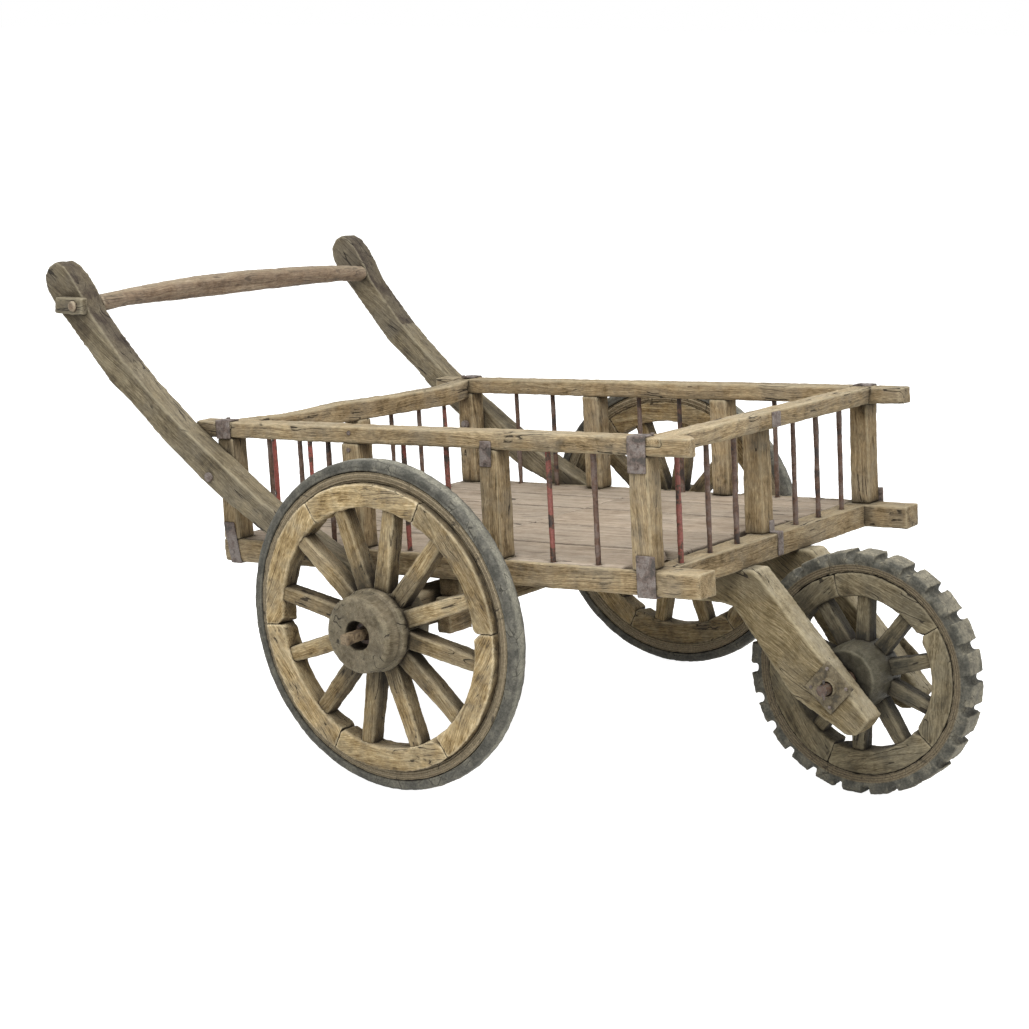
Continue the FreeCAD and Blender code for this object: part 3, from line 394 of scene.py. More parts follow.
# How the patterns of the rubber combine: ranges, shades and sizes as for oak, radii in metres
rubberMix = {
    "blotchDetail": 6.0, "gritSize": (4, 4, 4), "gritDetail": 5.0, "gritShift": 4.4,
    "toneSteps": (0.38, 0.5, 0.64), "footBlend": 0.0015, "footShare": 0.8, "treadBlend": 0.003,
    "wornRange": (0.4, 0.55), "wornLeast": 0.4, "edgeRange": (0.52, 0.6), "edgeShare": 0.35,
    "gritRange": (0.36, 0.64), "gritShades": (0.7, 1.25), "ringSpacing": 0.005, "ringRange": (-0.8, -0.2),
    "ringLeast": 0.55, "lineRange": (0.035, 0.01), "crackRange": (0.52, 0.58), "crackShare": 0.7,
    "crack": "#1b1916", "crackDepth": -1.5, "cornerDirtAndShadeReach": 0.02, "cornerRange": (0.75, 0.25),
    "corner": "#25221c", "cornerDirtAndShadeSamples": 6, "roughnessSpread": (-0.1, 0.15), "bumpStrength": 0.6,
    "bumpHeight": 0.0015, "shine": 0.35,
}


def agedRubber(name, look):
    material, tree, shader = newMaterial(name)
    mix = rubberMix
    grain = addNode(tree, "ShaderNodeAttribute", {"attribute_name": "grain"}).outputs["Vector"]
    radius = addNode(tree, "ShaderNodeAttribute", {"attribute_name": "radius"}).outputs["Fac"]
    blotch = streak(tree, grain, [look["blotch"]] * 3, mix["blotchDetail"])
    grit = streak(tree, grain, mix["gritSize"], mix["gritDetail"], mix["gritShift"])
    colour = addNode(tree, "ShaderNodeValToRGB", {
        "ramp": list(zip(mix["toneSteps"], look["tones"])), "Fac": blotch}).outputs["Color"]
    foot = addNode(tree, "ShaderNodeMapRange", {
        "Value": radius, "From Min": look["footTo"] + mix["footBlend"],
        "From Max": look["footTo"] - mix["footBlend"], "To Max": mix["footShare"]}).outputs[0]
    tread = addNode(tree, "ShaderNodeMapRange", {
        "Value": radius, "From Min": look["treadFrom"],
        "From Max": look["treadFrom"] + mix["treadBlend"]}).outputs[0]
    start, end = mix["wornRange"]
    rubbing = addNode(tree, "ShaderNodeMapRange", {
        "Value": blotch, "From Min": start, "From Max": end, "To Min": mix["wornLeast"],
        "To Max": look["wornShare"]}).outputs[0]
    worn = addNode(tree, "ShaderNodeMath", {"operation": "MULTIPLY", 0: tread, 1: rubbing}).outputs[0]
    form = addNode(tree, "ShaderNodeNewGeometry", {}).outputs["Pointiness"]
    start, end = mix["edgeRange"]
    rubbed = addNode(tree, "ShaderNodeMapRange", {"Value": form, "From Min": start, "From Max": end,
                                                  "To Max": mix["edgeShare"]}).outputs[0]
    (start, end), (least, most) = mix["gritRange"], mix["gritShades"]
    speckle = addNode(tree, "ShaderNodeMapRange", {"Value": grit, "From Min": start, "From Max": end,
                                                   "To Min": least, "To Max": most}).outputs[0]
    # Moulded rings about the axle, in the foot only
    phase = addNode(tree, "ShaderNodeMath", {"operation": "MULTIPLY", 0: radius,
                                             1: 2 * math.pi / mix["ringSpacing"]}).outputs[0]
    wave = addNode(tree, "ShaderNodeMath", {"operation": "SINE", 0: phase}).outputs[0]
    rings = addNode(tree, "ShaderNodeMath", {"operation": "MULTIPLY", 0: wave, 1: foot}).outputs[0]
    start, end = mix["ringRange"]
    ringShade = addNode(tree, "ShaderNodeMapRange", {"Value": rings, "From Min": start, "From Max": end,
                                                     "To Min": mix["ringLeast"]}).outputs[0]
    # Cracks run between cells, in patches
    cells = addNode(tree, "ShaderNodeTexVoronoi", {
        "feature": "DISTANCE_TO_EDGE", "Scale": 1000.0 / look["crackSize"], "Vector": grain})
    start, end = mix["lineRange"]
    line = addNode(tree, "ShaderNodeMapRange", {"Value": cells.outputs["Distance"], "From Min": start,
                                                "From Max": end}).outputs[0]
    start, end = mix["crackRange"]
    where = addNode(tree, "ShaderNodeMapRange", {"Value": blotch, "From Min": start, "From Max": end,
                                                 "To Max": mix["crackShare"]}).outputs[0]
    crack = addNode(tree, "ShaderNodeMath", {"operation": "MULTIPLY", 0: line, 1: where}).outputs[0]
    # Hollows and corners get dirt and painted shade, darkest where least is open
    corner = addNode(tree, "ShaderNodeAmbientOcclusion", {
        "samples": mix["cornerDirtAndShadeSamples"], "Distance": mix["cornerDirtAndShadeReach"]}).outputs["AO"]
    start, end = mix["cornerRange"]
    hollowDirtAndShade = addNode(tree, "ShaderNodeMapRange", {"Value": corner, "From Min": start, "From Max": end,
                                                  "To Max": look["hollowDirtAndShadeShare"]}).outputs[0]
    colour = paintLayers(tree, colour, (
        (foot, look["foot"], "MIX"), (worn, look["worn"], "MIX"), (rubbed, look["worn"], "MIX"),
        (1.0, speckle, "MULTIPLY"), (1.0, ringShade, "MULTIPLY"), (crack, mix["crack"], "MIX"),
        (hollowDirtAndShade, mix["corner"], "MIX")))
    least, most = [look["roughness"] + spread for spread in mix["roughnessSpread"]]
    rough = addNode(tree, "ShaderNodeMapRange", {"Value": blotch, "To Min": least, "To Max": most}).outputs[0]
    height = addNode(tree, "ShaderNodeMath", {"operation": "MULTIPLY_ADD", 0: crack,
                                              1: mix["crackDepth"], 2: grit}).outputs[0]
    height = addNode(tree, "ShaderNodeMath", {"operation": "ADD", 0: height, 1: rings}).outputs[0]
    bump = addNode(tree, "ShaderNodeBump", {"Strength": mix["bumpStrength"], "Distance": mix["bumpHeight"],
                                            "Height": height})
    shader.inputs["Specular IOR Level"].default_value = mix["shine"]
    tree.links.new(colour, shader.inputs["Base Color"])
    tree.links.new(rough, shader.inputs["Roughness"])
    tree.links.new(bump.outputs["Normal"], shader.inputs["Normal"])
    return material


finishes = {name: weatheredOak(name, {**oakBase, **look}) for name, look in woodLooks.items()}
finishes.update({name: oldIron(name, look) for name, look in ironLooks.items()})
finishes.update({name: agedRubber(name, look) for name, look in rubberLooks.items()})
print("stage: the finishes are mixed")


def pickOnly(*chosen):
    bpy.ops.object.select_all(action="DESELECT")
    for item in chosen:
        item.select_set(True)
    bpy.context.view_layer.objects.active = chosen[0]


# Points nearer than these are one, in metres: in a CAD mesh, and at the seam of a spun ring
mergeCad = 0.00001
mergeSpun = 0.0001


def benchCopy(nodeName):
    # A copy of a CAD node, with the loose corners of its triangles merged
    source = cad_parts[nodeName]
    mesh = source.data.copy()
    mesh.materials.clear()
    piece = bpy.data.objects.new("bench", mesh)
    bpy.context.scene.collection.objects.link(piece)
    pickOnly(piece)
    bpy.ops.object.mode_set(mode="EDIT")
    bpy.ops.mesh.select_all(action="SELECT")
    bpy.ops.mesh.remove_doubles(threshold=mergeCad)
    bpy.ops.mesh.separate(type="LOOSE")
    bpy.ops.object.mode_set(mode="OBJECT")
    return sorted(bpy.context.selected_objects, key=lambda part: part.name)


# Wear, in metres. hew is how much the adze left uneven, furrow how deep the soft grain has weathered,
# nick how deep the knocks are, and level which share of it is added rather than taken away
wearKinds = {
    "timber": {"voxel": 0.0034, "rounding": 1, "hew": 0.0034, "hewSize": 0.26, "furrow": 0.0018,
               "furrowSize": (0.16, 0.010, 0.010), "nick": 0.0016, "nickSize": 0.020, "level": 0.5},
    "hidden": {"voxel": 0.0060, "rounding": 1, "hew": 0.0034, "hewSize": 0.26, "furrow": 0.0018,
               "furrowSize": (0.16, 0.012, 0.012), "nick": 0.0016, "nickSize": 0.03, "level": 0.5},
    "board": {"voxel": 0.0046, "rounding": 1, "hew": 0.0030, "hewSize": 0.24, "furrow": 0.0016,
              "furrowSize": (0.30, 0.012, 0.012), "nick": 0.0010, "nickSize": 0.03, "level": 0.5},
    "arm": {"voxel": 0.0036, "rounding": 2, "hew": 0.0024, "hewSize": 0.30, "furrow": 0.0018,
            "furrowSize": (0.30, 0.014, 0.014), "nick": 0.0014, "nickSize": 0.028, "level": 0.55},
    "fork": {"voxel": 0.0034, "rounding": 1, "hew": 0.0024, "hewSize": 0.30, "furrow": 0.0020,
             "furrowSize": (0.22, 0.012, 0.012), "nick": 0.0016, "nickSize": 0.024, "level": 0.45},
    "pole": {"voxel": 0.0028, "rounding": 2, "hew": 0.0036, "hewSize": 0.10, "furrow": 0.0018,
             "furrowSize": (0.16, 0.010, 0.010), "nick": 0.0014, "nickSize": 0.02, "level": 0.45},
    "felloe": {"voxel": 0.0032, "rounding": 1, "hew": 0.0030, "hewSize": 0.12, "furrow": 0.0018,
               "furrowSize": (0.14, 0.009, 0.009), "nick": 0.0026, "nickSize": 0.022, "level": 0.45},
    "spoke": {"voxel": 0.0030, "rounding": 1, "hew": 0.0026, "hewSize": 0.10, "furrow": 0.0018,
              "furrowSize": (0.12, 0.008, 0.008), "nick": 0.0016, "nickSize": 0.018, "level": 0.4},
    "hub": {"voxel": 0.0028, "rounding": 2, "hew": 0.0026, "hewSize": 0.06, "furrow": 0.0012,
            "furrowSize": (0.05, 0.012, 0.012), "nick": 0.0020, "nickSize": 0.018, "level": 0.5},
    "rod": {"voxel": 0.0024, "rounding": 1, "hew": 0.0030, "hewSize": 0.08, "furrow": 0.0004,
            "furrowSize": (0.05, 0.006, 0.006), "nick": 0.0008, "nickSize": 0.010, "level": 0.5},
    "stub": {"voxel": 0.0030, "rounding": 1, "hew": 0.0020, "hewSize": 0.05, "furrow": 0.0004,
             "furrowSize": (0.05, 0.006, 0.006), "nick": 0.0010, "nickSize": 0.012, "level": 1.0},
    "strap": {"voxel": 0.0016, "rounding": 1, "hew": 0.0012, "hewSize": 0.03, "furrow": 0.0003,
              "furrowSize": (0.02, 0.006, 0.006), "nick": 0.0008, "nickSize": 0.007, "level": 0.4},
    "lugs": {"voxel": 0.0032, "rounding": 2, "hew": 0.0030, "hewSize": 0.05, "furrow": 0.0008,
             "furrowSize": (0.02, 0.02, 0.02), "nick": 0.0024, "nickSize": 0.014, "level": 0.75},
    "rubber": {"voxel": 0.0030, "rounding": 2, "hew": 0.0018, "hewSize": 0.07, "furrow": 0.0004,
               "furrowSize": (0.02, 0.02, 0.02), "nick": 0.0016, "nickSize": 0.012, "level": 0.7},
}

# How far a piece's patches of wear and of grain are shifted at most, in metres
guideShift = 9
grainShift = 20
# Two unseen guides carry the wear patterns: one plain, one drawn out along the grain
guides = {}
for guideName in ("hewGuide", "grainGuide"):
    bpy.ops.object.empty_add()
    guides[guideName] = bpy.context.object
    guides[guideName].name = guideName
wearTextures = {}
for textureName in ("hew", "furrow", "nick"):
    wearTextures[textureName] = bpy.data.textures.new(textureName, "CLOUDS")
wearTextures["hew"].noise_depth = 2
wearTextures["furrow"].noise_scale = 1.0
wearTextures["furrow"].noise_depth = 1
wearTextures["nick"].noise_depth = 3
wearTextures["nick"].contrast = 1.6


def addModifier(piece, kind, **settings):
    modifier = piece.modifiers.new(kind.lower(), kind)
    for key, value in settings.items():
        setattr(modifier, key, value)
    return modifier


def applyAll(piece):
    pickOnly(piece)
    for modifier in list(piece.modifiers):
        bpy.ops.object.modifier_apply(modifier=modifier.name)


def roughen(piece, wear, chance):
    # Makes the surface uneven, as tools, weather and knocks do
    guides["hewGuide"].location = [chance.uniform(-guideShift, guideShift) for _ in range(3)]
    guides["grainGuide"].location = [chance.uniform(-guideShift, guideShift) for _ in range(3)]
    guides["grainGuide"].scale = wear["furrowSize"]
    bpy.context.view_layer.update()
    wearTextures["hew"].noise_scale = wear["hewSize"]
    wearTextures["nick"].noise_scale = wear["nickSize"]
    for kind, guide in (("hew", "hewGuide"), ("furrow", "grainGuide"), ("nick", "hewGuide")):
        addModifier(piece, "DISPLACE", texture=wearTextures[kind], texture_coords="OBJECT",
                    texture_coords_object=guides[guide], strength=wear[kind], mid_level=wear["level"])
    applyAll(piece)


def writeAmounts(piece, name, amounts):
    # One number per point of the mesh, for the finishes to read
    piece.data.attributes.new(name, "FLOAT", "POINT").data.foreach_set("value", np.float32(amounts))


def pointsOf(piece):
    places = np.empty(len(piece.data.vertices) * 3, np.float32)
    piece.data.vertices.foreach_get("co", places)
    return places.reshape(-1, 3)


def middleOf(piece, base):
    # The middle of a piece, seen from a wheel's or the bed's frame
    places = pointsOf(piece)
    return base.inverted() @ Vector((places.min(0) + places.max(0)) / 2)


# Weather, painted light and handling. Places are in the bed's or the wheel's frame, in metres: upward faces
# are paler, bleached and with painted light from above, spokes are soiled inside hubReach, fading over
# hubFade, and the arms rear of handledRear, most of all on the side that faces up
weatherAndToplight = {
    "bleachAndToplightSlope": 1.6, "bleachAndToplightFrom": 0.5, "hubReach": 0.165, "hubFade": 0.08, "handledRear": -0.735,
    "armUpward": (0.75, 0.0, 0.66), "armSlope": 3, "armFrom": 1.6, "headRear": -0.815, "headFade": 0.06,
    "headShare": 0.35,
}


def writeWeatherAndToplight(piece, base, kind):
    # Upward faces are paler, bleached and with painted light from above; spokes are soiled towards the hub
    # and arms along their upper edge
    mesh = piece.data
    normals = np.empty(len(mesh.vertices) * 3, np.float32)
    mesh.vertices.foreach_get("normal", normals)
    normals = normals.reshape(-1, 3)
    turn = np.array(base.to_3x3().inverted())
    places = pointsOf(piece) @ turn.T + np.array(base.inverted().translation)
    # Painted light from above and bleaching: the more a face looks up, the paler it is
    bleach = normals[:, 2] * weatherAndToplight["bleachAndToplightSlope"] - weatherAndToplight["bleachAndToplightFrom"]
    writeAmounts(piece, "bleach", np.clip(bleach, 0, 1))
    if kind == "spoke":
        fromHub = np.hypot(places[:, 0], places[:, 2])
        writeAmounts(piece, "soil", np.clip((weatherAndToplight["hubReach"] - fromHub) / weatherAndToplight["hubFade"], 0, 1))
    if kind == "arm":
        upward = (normals @ turn.T) @ np.array(weatherAndToplight["armUpward"])
        upper = np.clip(upward * weatherAndToplight["armSlope"] - weatherAndToplight["armFrom"], 0, 1)
        head = np.clip((weatherAndToplight["headRear"] - places[:, 0]) / weatherAndToplight["headFade"], 0, weatherAndToplight["headShare"])
        handled = places[:, 0] < weatherAndToplight["handledRear"]
        writeAmounts(piece, "soil", np.where(handled, np.maximum(upper, head), 0))


def writeGrain(piece, chance, tone=None):
    # The finish follows each piece's own grain, and no two pieces share a patch of it
    places = pointsOf(piece)
    shift = np.array([chance.uniform(-grainShift, grainShift) for _ in range(3)], np.float32)
    grain = piece.data.attributes.new("grain", "FLOAT_VECTOR", "POINT")
    grain.data.foreach_set("vector", (places + shift).ravel())
    writeAmounts(piece, "tone", np.full(len(places), chance.random() if tone is None else tone))


def workSolid(solid, seat, wear, chance, tone=None):
    # seat is the frame with its x axis along the grain
    solid.data.transform(seat.inverted())
    addModifier(solid, "REMESH", mode="VOXEL", voxel_size=wear["voxel"], use_smooth_shade=True)
    addModifier(solid, "SMOOTH", factor=0.5, iterations=wear["rounding"])
    applyAll(solid)
    roughen(solid, wear, chance)
    writeGrain(solid, chance, tone)
    solid.data.transform(seat)
    return solid


# Rods that still carry red lead: where they stand in the bed's frame, in metres, and how much is left
paintedRods = (
    (-0.512, -0.290, 0.9), (-0.512, -0.172, 0.9), (-0.512, 0.325, 0.5), (-0.026, -0.425, 0.8),
    (0.086, -0.425, 0.55), (0.341, -0.425, 0.6), (0.588, -0.340, 0.6),
)
rodReach = 0.02


def paintRod(rod):
    middle = middleOf(rod, bedFrame)
    left = [share for x, y, share in paintedRods if math.hypot(middle.x - x, middle.y - y) < rodReach]
    writeAmounts(rod, "paint", np.full(len(rod.data.vertices), sum(left)))


def finishPiece(parts, name, body, nodes, finish):
    pickOnly(*parts)
    if len(parts) > 1:
        bpy.ops.object.join()
    piece = bpy.context.view_layer.objects.active
    piece.name = name
    piece.data.name = name
    piece.data.materials.clear()
    piece.data.materials.append(finishes[finish])
    pickOnly(piece)
    bpy.ops.object.shade_smooth()
    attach(piece, body)
    if nodes:
        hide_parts(*nodes)
    return piece


def bedSeatFor(axis, slope=0.0):
    return bedFrame @ Matrix.Rotation(math.radians(slope), 4, "Y") @ grainTurns[axis]


# Where the seeds of each group start. The first group is bedTimbers: a timber's seed is its place in it
firstSeeds = {"sloped": 50, "wheelWood": 100, "rearTyres": 200, "frontTyre": 300}
# Timbers of the bed: node, which way its grain runs, wear, finish and slot
bedTimbers = {}
for axis, sides in (("x", ("right", "left")), ("y", ("front", "rear"))):
    for height in ("bottom", "top"):
        for side in sides:
            bedTimbers[f"{side}_{height}_rail"] = (axis, "timber", "bedOak", "bed_wood")
bedTimbers.update({
    "floor_joists": ("y", "hidden", "bedOak", "bed_wood"),
    "axle_beam": ("y", "hidden", "bedOak", "bed_wood"),
    "cross_beam": ("y", "timber", "bedOak", "bed_wood"),
    "handle_bar": ("y", "pole", "barPole", "handle_wood"),
    "handle_keys": ("x", "pole", "armOak", "handle_wood"),
    "side_rods": ("z", "rod", "rodIron", "old_iron"),
    "end_rods": ("z", "rod", "rodIron", "old_iron"),
    "corner_straps": ("z", "strap", "rustedIron", "old_iron"),
    "fork_flanges": ("y", "strap", "flangeIron", "old_iron"),
    "rear_axle": ("y", "stub", "axleIron", "old_iron"),
})
for number in (1, 2, 3, 4):
    bedTimbers[f"right_post_{number}"] = ("z", "timber", "bedOak", "bed_wood")
    bedTimbers[f"left_post_{number}"] = ("z", "timber", "bedOak", "bed_wood")
for middlePost in ("front_post", "rear_post"):
    bedTimbers[middlePost] = ("z", "timber", "bedOak", "bed_wood")
for number in (1, 2, 3, 4, 5):
    bedTimbers[f"floor_board_{number}"] = ("x", "board", "floorOak", "floor_wood")

# Arms and fork: how steeply their grain runs down towards the front, in degrees, and their plain tone
slopedTimbers = {
    "handle_arm_right": (37.0, "arm", "armOak", "handle_wood"),
    "handle_arm_left": (37.0, "arm", "armOak", "handle_wood"),
    "fork_arm_right": (35.0, "fork", "forkOak", "bed_wood"),
    "fork_arm_left": (35.0, "fork", "forkOak", "bed_wood"),
}
plainTone = 0.5


def cutAway(part, point, normal):
    # Takes off what lies behind the plane and closes the cut
    pickOnly(part)
    bpy.ops.object.mode_set(mode="EDIT")
    bpy.ops.mesh.select_all(action="SELECT")
    bpy.ops.mesh.bisect(plane_co=point, plane_no=normal, use_fill=True, clear_inner=True)
    bpy.ops.object.mode_set(mode="OBJECT")


# Floor boards, in metres: how far apart they have shrunk, and what those nearer than brokenTo lost of their
# front ends. askew and lean are how far a break turns from square
boardWear = {"gap": 0.0065, "brokenTo": 0.12, "loss": (0.008, 0.020), "askew": 0.16, "lean": 0.3}


def shrinkAcross(board, amount):
    # Opens the gap between neighbouring boards
    places = pointsOf(board)
    middle = (places[:, 1].min() + places[:, 1].max()) / 2
    width = places[:, 1].max() - places[:, 1].min()
    seat = Matrix.Translation((0, middle, 0))
    board.data.transform(seat @ Matrix.Diagonal((1, 1 - amount / width, 1, 1)) @ seat.inverted())


def breakFrontEnd(board, chance):
    board.data.transform(bedFrame.inverted())
    places = pointsOf(board)
    near, far, front = places[:, 1].min(), places[:, 1].max(), places[:, 0].max()
    for place in (near, far):
        point = (front - chance.uniform(*boardWear["loss"]), place, 0)
        askew = chance.uniform(-boardWear["askew"], boardWear["askew"])
        cutAway(board, point, (-1, askew, chance.uniform(-boardWear["lean"], boardWear["lean"])))
    board.data.transform(bedFrame)


# Pieces that end out of sight behind the far arm: what lies behind this plane of the bed's frame is cut off,
# in metres, of each solid whose middle is farther than farFrom
farTrims = {"handle_keys": ((-0.890, 0, 0), (-1, 0, 0)), "handle_bar": ((0, 0.5124, 0), (0, -1, 0))}
farFrom = -0.2


def trimFar(part, point, normal):
    part.data.transform(bedFrame.inverted())
    cutAway(part, point, normal)
    part.data.transform(bedFrame)


def pieceName(nodeName):
    words = nodeName.split("_")
    return "old" + "".join(word.capitalize() for word in words)


def makeBed():
    for seed, (nodeName, (axis, wear, finish, slot)) in enumerate(bedTimbers.items()):
        chance = random.Random(seed)
        seat = bedSeatFor(axis)
        parts = []
        for part in benchCopy(nodeName):
            if wear == "board":
                shrinkAcross(part, boardWear["gap"])
                middle = middleOf(part, bedFrame)
                if middle.x > 0 and middle.y < boardWear["brokenTo"]:
                    breakFrontEnd(part, chance)
            if nodeName in farTrims and middleOf(part, bedFrame).y > farFrom:
                trimFar(part, *farTrims[nodeName])
            parts.append(workSolid(part, seat, wearKinds[wear], chance))
            writeWeatherAndToplight(part, bedFrame, wear)
            if wear == "rod":
                paintRod(part)
        finishPiece(parts, pieceName(nodeName), "cart", [nodeName], finish)
    for place, (nodeName, (slope, wear, finish, slot)) in enumerate(slopedTimbers.items()):
        chance = random.Random(firstSeeds["sloped"] + place)
        seat = bedSeatFor("x", slope)
        parts = [workSolid(part, seat, wearKinds[wear], chance, plainTone) for part in benchCopy(nodeName)]
        for part in parts:
            writeWeatherAndToplight(part, bedFrame, wear)
        finishPiece(parts, pieceName(nodeName), "cart", [nodeName], finish)
    print("stage: the bed, the handle and the fork are worn down")


makeBed()

# Wheels: finish of each piece of wood, and which way its grain runs once it points along x
wheelWoods = {
    "right_wheel": {"felloes": "wheelOak", "spokes": "wheelOak", "hub": "hubOak"},
    "left_wheel": {"felloes": "wheelOak", "spokes": "wheelOak", "hub": "hubOak"},
    "front_wheel": {"felloes": "frontWheelOak", "spokes": "frontWheelOak", "hub": "frontHubOak"},
}
wheelWear = {"felloes": ("felloe", "z"), "spokes": ("spoke", "x"), "hub": ("hub", "y")}


def wheelSeatFor(body, part, axis):
    base = wheelFrames[body]
    middle = middleOf(part, base)
    if axis == "y":
        return base @ grainTurns["y"]
    angle = math.atan2(middle.z, middle.x)
    return base @ Matrix.Rotation(-angle, 4, "Y") @ grainTurns[axis]


# Half the angle that a felloe covers, in degrees, and the radius of its inner edge, in metres
felloeSpans = {"right_wheel": (29.6, 0.2515), "left_wheel": (29.6, 0.2515), "front_wheel": (35.6, 0.162)}
# Felloe ends: the joint of the near wheel that has opened, how far it is from its felloe's middle, and by
# how much it opened, in degrees; then the reach of the corner chips in metres, and how they slope
felloeEnds = {
    "openJoint": 7.2, "jointToMiddle": 30.0, "within": 5.0, "openBy": 1.1, "chipLeast": 0.001,
    "chipMost": 0.007, "slant": 0.5, "slope": (0.8, 1.6),
}


def chipFelloe(part, base, half, innerRadius, chance, opened):
    # Splinters the inner corners at both ends, and opens one joint
    middle = middleOf(part, base)
    centre = math.atan2(middle.z, middle.x)
    part.data.transform(base.inverted())
    joint = math.degrees(centre) - felloeEnds["jointToMiddle"]
    if opened and abs(joint - felloeEnds["openJoint"]) < felloeEnds["within"]:
        angle = math.radians(felloeEnds["openJoint"] + felloeEnds["openBy"])
        cutAway(part, (0, 0, 0), (-math.sin(angle), 0, math.cos(angle)))
    for side in (-1, 1):
        angle = centre + side * math.radians(half)
        outward = Vector((math.cos(angle), 0, math.sin(angle)))
        inward = Vector((math.sin(angle), 0, -math.cos(angle))) * side
        size = chance.uniform(felloeEnds["chipLeast"], felloeEnds["chipMost"])
        slant = Vector((0, chance.uniform(-felloeEnds["slant"], felloeEnds["slant"]), 0))
        slope = chance.uniform(*felloeEnds["slope"])
        cutAway(part, outward * (innerRadius + size), (outward + inward * slope + slant))
    part.data.transform(base)


# A rear felloe whose middle is higher than this over the axle, in metres, gets the palest tone:
# partly its own paler wood, partly a painted highlight from the light above
paintedHighlightAbove = 0.25
paintedHighlightTone = 1.0


def makeWheelWood():
    for seed, (body, woods) in enumerate(wheelWoods.items()):
        for kind, finish in woods.items():
            chance = random.Random(firstSeeds["wheelWood"] + seed * 10 + len(kind))
            wear, axis = wheelWear[kind]
            nodeName = f"{body}_{kind}"
            parts = []
            for part in benchCopy(nodeName):
                if kind == "felloes":
                    half, inner = felloeSpans[body]
                    chipFelloe(part, wheelFrames[body], half, inner, chance, body == "right_wheel")
                seat = wheelSeatFor(body, part, axis)
                # High rear felloes get the palest tone, partly a painted highlight from the light above
                pale = kind == "felloes" and middleOf(part, wheelFrames[body]).z > paintedHighlightAbove
                tone = paintedHighlightTone if pale else None
                parts.append(workSolid(part, seat, wearKinds[wear], chance, tone))
                writeWeatherAndToplight(part, wheelFrames[body], wear)
            finishPiece(parts, pieceName(nodeName), body, [nodeName], finish)
    print("stage: felloes, spokes and hubs are worn down")


makeWheelWood()

# Rear tyre and its brown base, half outlines in metres: radius, then how far out from their own middle.
# The middle lies inwards of the felloes' middle
rearTyre = {
    "steps": 240, "setIn": 0.010,
    "rubber": ((0.3215, 0.0195), (0.3252, 0.0210), (0.3275, 0.0214), (0.3298, 0.0196), (0.3320, 0.0214),
               (0.3380, 0.0208), (0.3425, 0.0182), (0.3455, 0.0130), (0.3466, 0.0070), (0.3468, 0.0)),
    "base": ((0.2965, 0.0), (0.2965, 0.0150), (0.3060, 0.0172), (0.3082, 0.0190), (0.3100, 0.0160),
             (0.3118, 0.0190), (0.3160, 0.0190), (0.3178, 0.0166), (0.3196, 0.0190), (0.3240, 0.0188)),
}


def turnRing(halfOutline, steps, setIn):
    # A closed outline spun about the axle, then smoothed once
    outline = list(halfOutline) + [(radius, -across) for radius, across in reversed(halfOutline) if across]
    bpy.ops.object.select_all(action="DESELECT")
    bpy.ops.mesh.primitive_circle_add(vertices=len(outline), radius=0.01)
    ring = bpy.context.object
    for vertex, (radius, across) in zip(ring.data.vertices, outline):
        vertex.co = (radius, across - setIn, 0)
    bpy.ops.object.mode_set(mode="EDIT")
    bpy.ops.mesh.select_all(action="SELECT")
    bpy.ops.mesh.spin(steps=steps, angle=2 * math.pi, center=(0, 0, 0), axis=(0, 1, 0))
    bpy.ops.mesh.select_all(action="SELECT")
    bpy.ops.mesh.remove_doubles(threshold=mergeSpun)
    bpy.ops.mesh.normals_make_consistent(inside=False)
    bpy.ops.object.mode_set(mode="OBJECT")
    addModifier(ring, "SUBSURF", levels=1, render_levels=1)
    applyAll(ring)
    return ring


def writeRadius(piece):
    places = pointsOf(piece)
    writeAmounts(piece, "radius", np.hypot(places[:, 0], places[:, 2]))


def makeRearTyres():
    for seed, body in enumerate(("right_wheel", "left_wheel"), firstSeeds["rearTyres"]):
        for kind, node, slot, finish in (("rubber", "tyre", "rear_rubber", "rearRubber"),
                                         ("base", "band", "tyre_base", "tyreBase")):
            chance = random.Random(seed)
            ring = turnRing(rearTyre[kind], rearTyre["steps"], rearTyre["setIn"])
            writeRadius(ring)
            roughen(ring, wearKinds["rubber"], chance)
            writeGrain(ring, chance)
            ring.data.transform(wheelFrames[body])
            finishPiece([ring], pieceName(f"{body}_{node}"), body, [f"{body}_{node}"], finish)
    print("stage: the rear tyres are on")


makeRearTyres()


def makeFrontTyre():
    chance = random.Random(firstSeeds["frontTyre"])
    body, node = "front_wheel", "front_wheel_tyre"
    parts = benchCopy(node)
    seat = wheelFrames[body]
    for part in parts:
        workSolid(part, seat, wearKinds["lugs"], chance)
        part.data.transform(seat.inverted())
        writeRadius(part)
        part.data.transform(seat)
    finishPiece(parts, pieceName(node), body, [node], "frontRubber")
    print("stage: the lugged front tyre is on")


makeFrontTyre()

# Small ironwork keeps its CAD shape and gets its finish
ironNodes = {
    "nail_heads": "rustedIron", "arm_bolts": "rustedIron", "front_axle": "greasyIron",
    "front_cotters": "rustedIron", "axle_collars": "greasyIron",
    "front_wheel_bush": "greasyIron", "right_wheel_bush": "greasyIron", "left_wheel_bush": "greasyIron",
}
for nodeName, finish in ironNodes.items():
    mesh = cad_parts[nodeName].data
    mesh.materials.clear()
    mesh.materials.append(finishes[finish])
print("stage: the small ironwork is finished")

for guide in guides.values():
    bpy.data.objects.remove(guide)

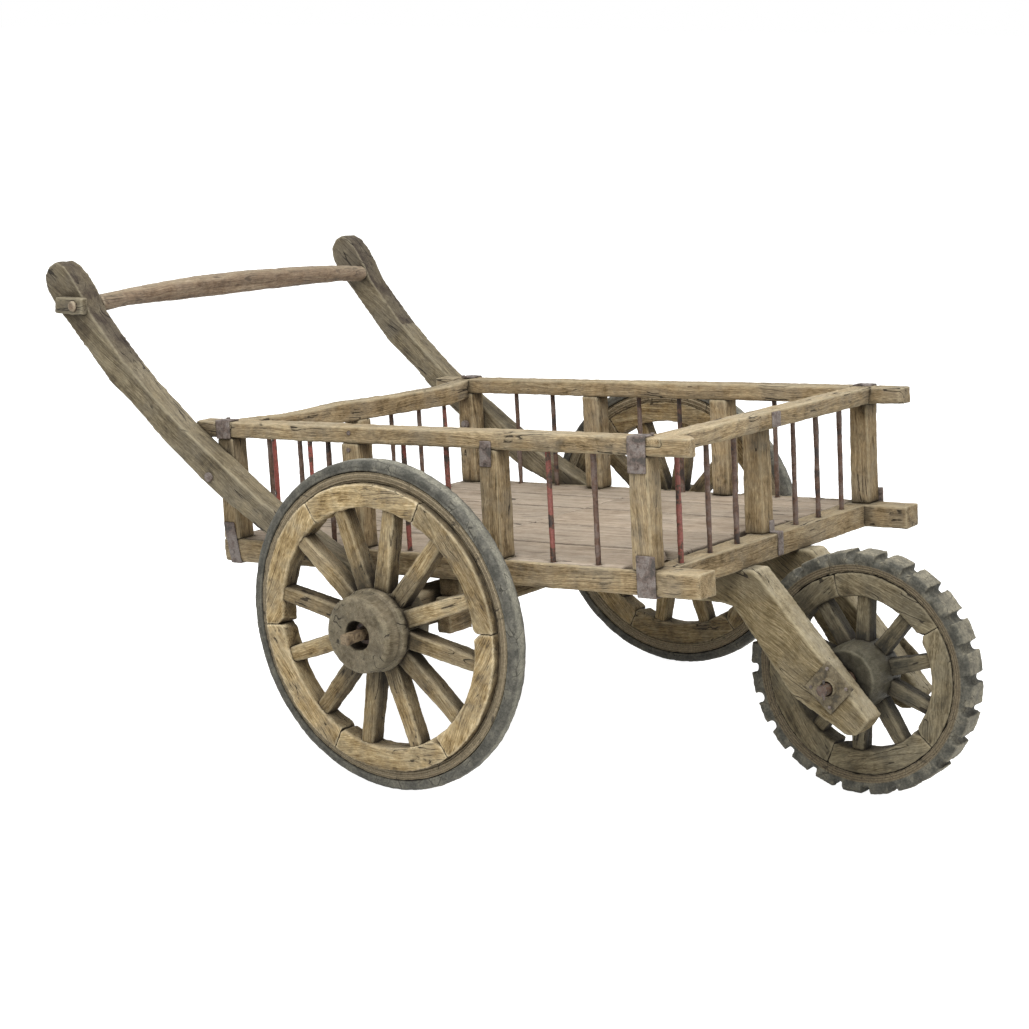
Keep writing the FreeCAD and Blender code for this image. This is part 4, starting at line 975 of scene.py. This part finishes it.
# Studio: a pale floor, soft daylight all round and one large soft lamp above
studio = {
    "around": 0.68, "lampPower": 105.0, "lampSize": 2.4, "lampPlace": (1.2, -1.5, 3.5),
    "lampAim": (0.0, 0.0, 0.4), "floorSize": 120.0, "floorDrop": 0.0005, "floorColour": "#dcdcda",
    "whiteLift": 0.95,
}


def seenMask(tree):
    # 1 for what the camera, a reflection or a see-through ray meets
    path = addNode(tree, "ShaderNodeLightPath", {}).outputs
    seen = path["Is Camera Ray"]
    for ray in ("Is Glossy Ray", "Is Transmission Ray"):
        seen = addNode(tree, "ShaderNodeMath", {"operation": "MAXIMUM", 0: seen, 1: path[ray]}).outputs[0]
    return seen


def makeStudio():
    world = bpy.data.worlds.new("daylight")
    bpy.context.scene.world = world
    world.use_nodes = True
    tree = world.node_tree
    level = addNode(tree, "ShaderNodeMapRange", {"Value": seenMask(tree), "To Min": studio["around"],
                                                 "To Max": 1.0}).outputs[0]
    tree.nodes["Background"].inputs["Color"].default_value = (1, 1, 1, 1)
    tree.links.new(level, tree.nodes["Background"].inputs["Strength"])
    bpy.ops.object.light_add(type="AREA", location=studio["lampPlace"])
    lamp = bpy.context.object
    lamp.name = "softLamp"
    lamp.data.energy = studio["lampPower"]
    lamp.data.size = studio["lampSize"]
    aim = Vector(studio["lampAim"]) - lamp.location
    lamp.rotation_euler = aim.to_track_quat("-Z", "Y").to_euler()
    bpy.ops.mesh.primitive_plane_add(size=studio["floorSize"], location=(0, 0, -studio["floorDrop"]))
    floor = bpy.context.object
    floor.name = "studioFloor"
    material, tree, shader = newMaterial("palePaint")
    shader.inputs["Base Color"].default_value = linearColour(studio["floorColour"])
    shader.inputs["Roughness"].default_value = 1.0
    shader.inputs["Specular IOR Level"].default_value = 0.0
    lift = addNode(tree, "ShaderNodeMath", {"operation": "MULTIPLY", 0: seenMask(tree),
                                            1: studio["whiteLift"]}).outputs[0]
    shader.inputs["Emission Color"].default_value = (1, 1, 1, 1)
    tree.links.new(lift, shader.inputs["Emission Strength"])
    floor.data.materials.append(material)
    floor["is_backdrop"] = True
    print("stage: the studio is lit")


makeStudio()

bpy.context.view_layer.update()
triangles = sum(len(piece.data.loop_triangles) or len(piece.data.polygons) * 2 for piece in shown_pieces())
print("stage: all pieces are in place, about", triangles, "triangles")
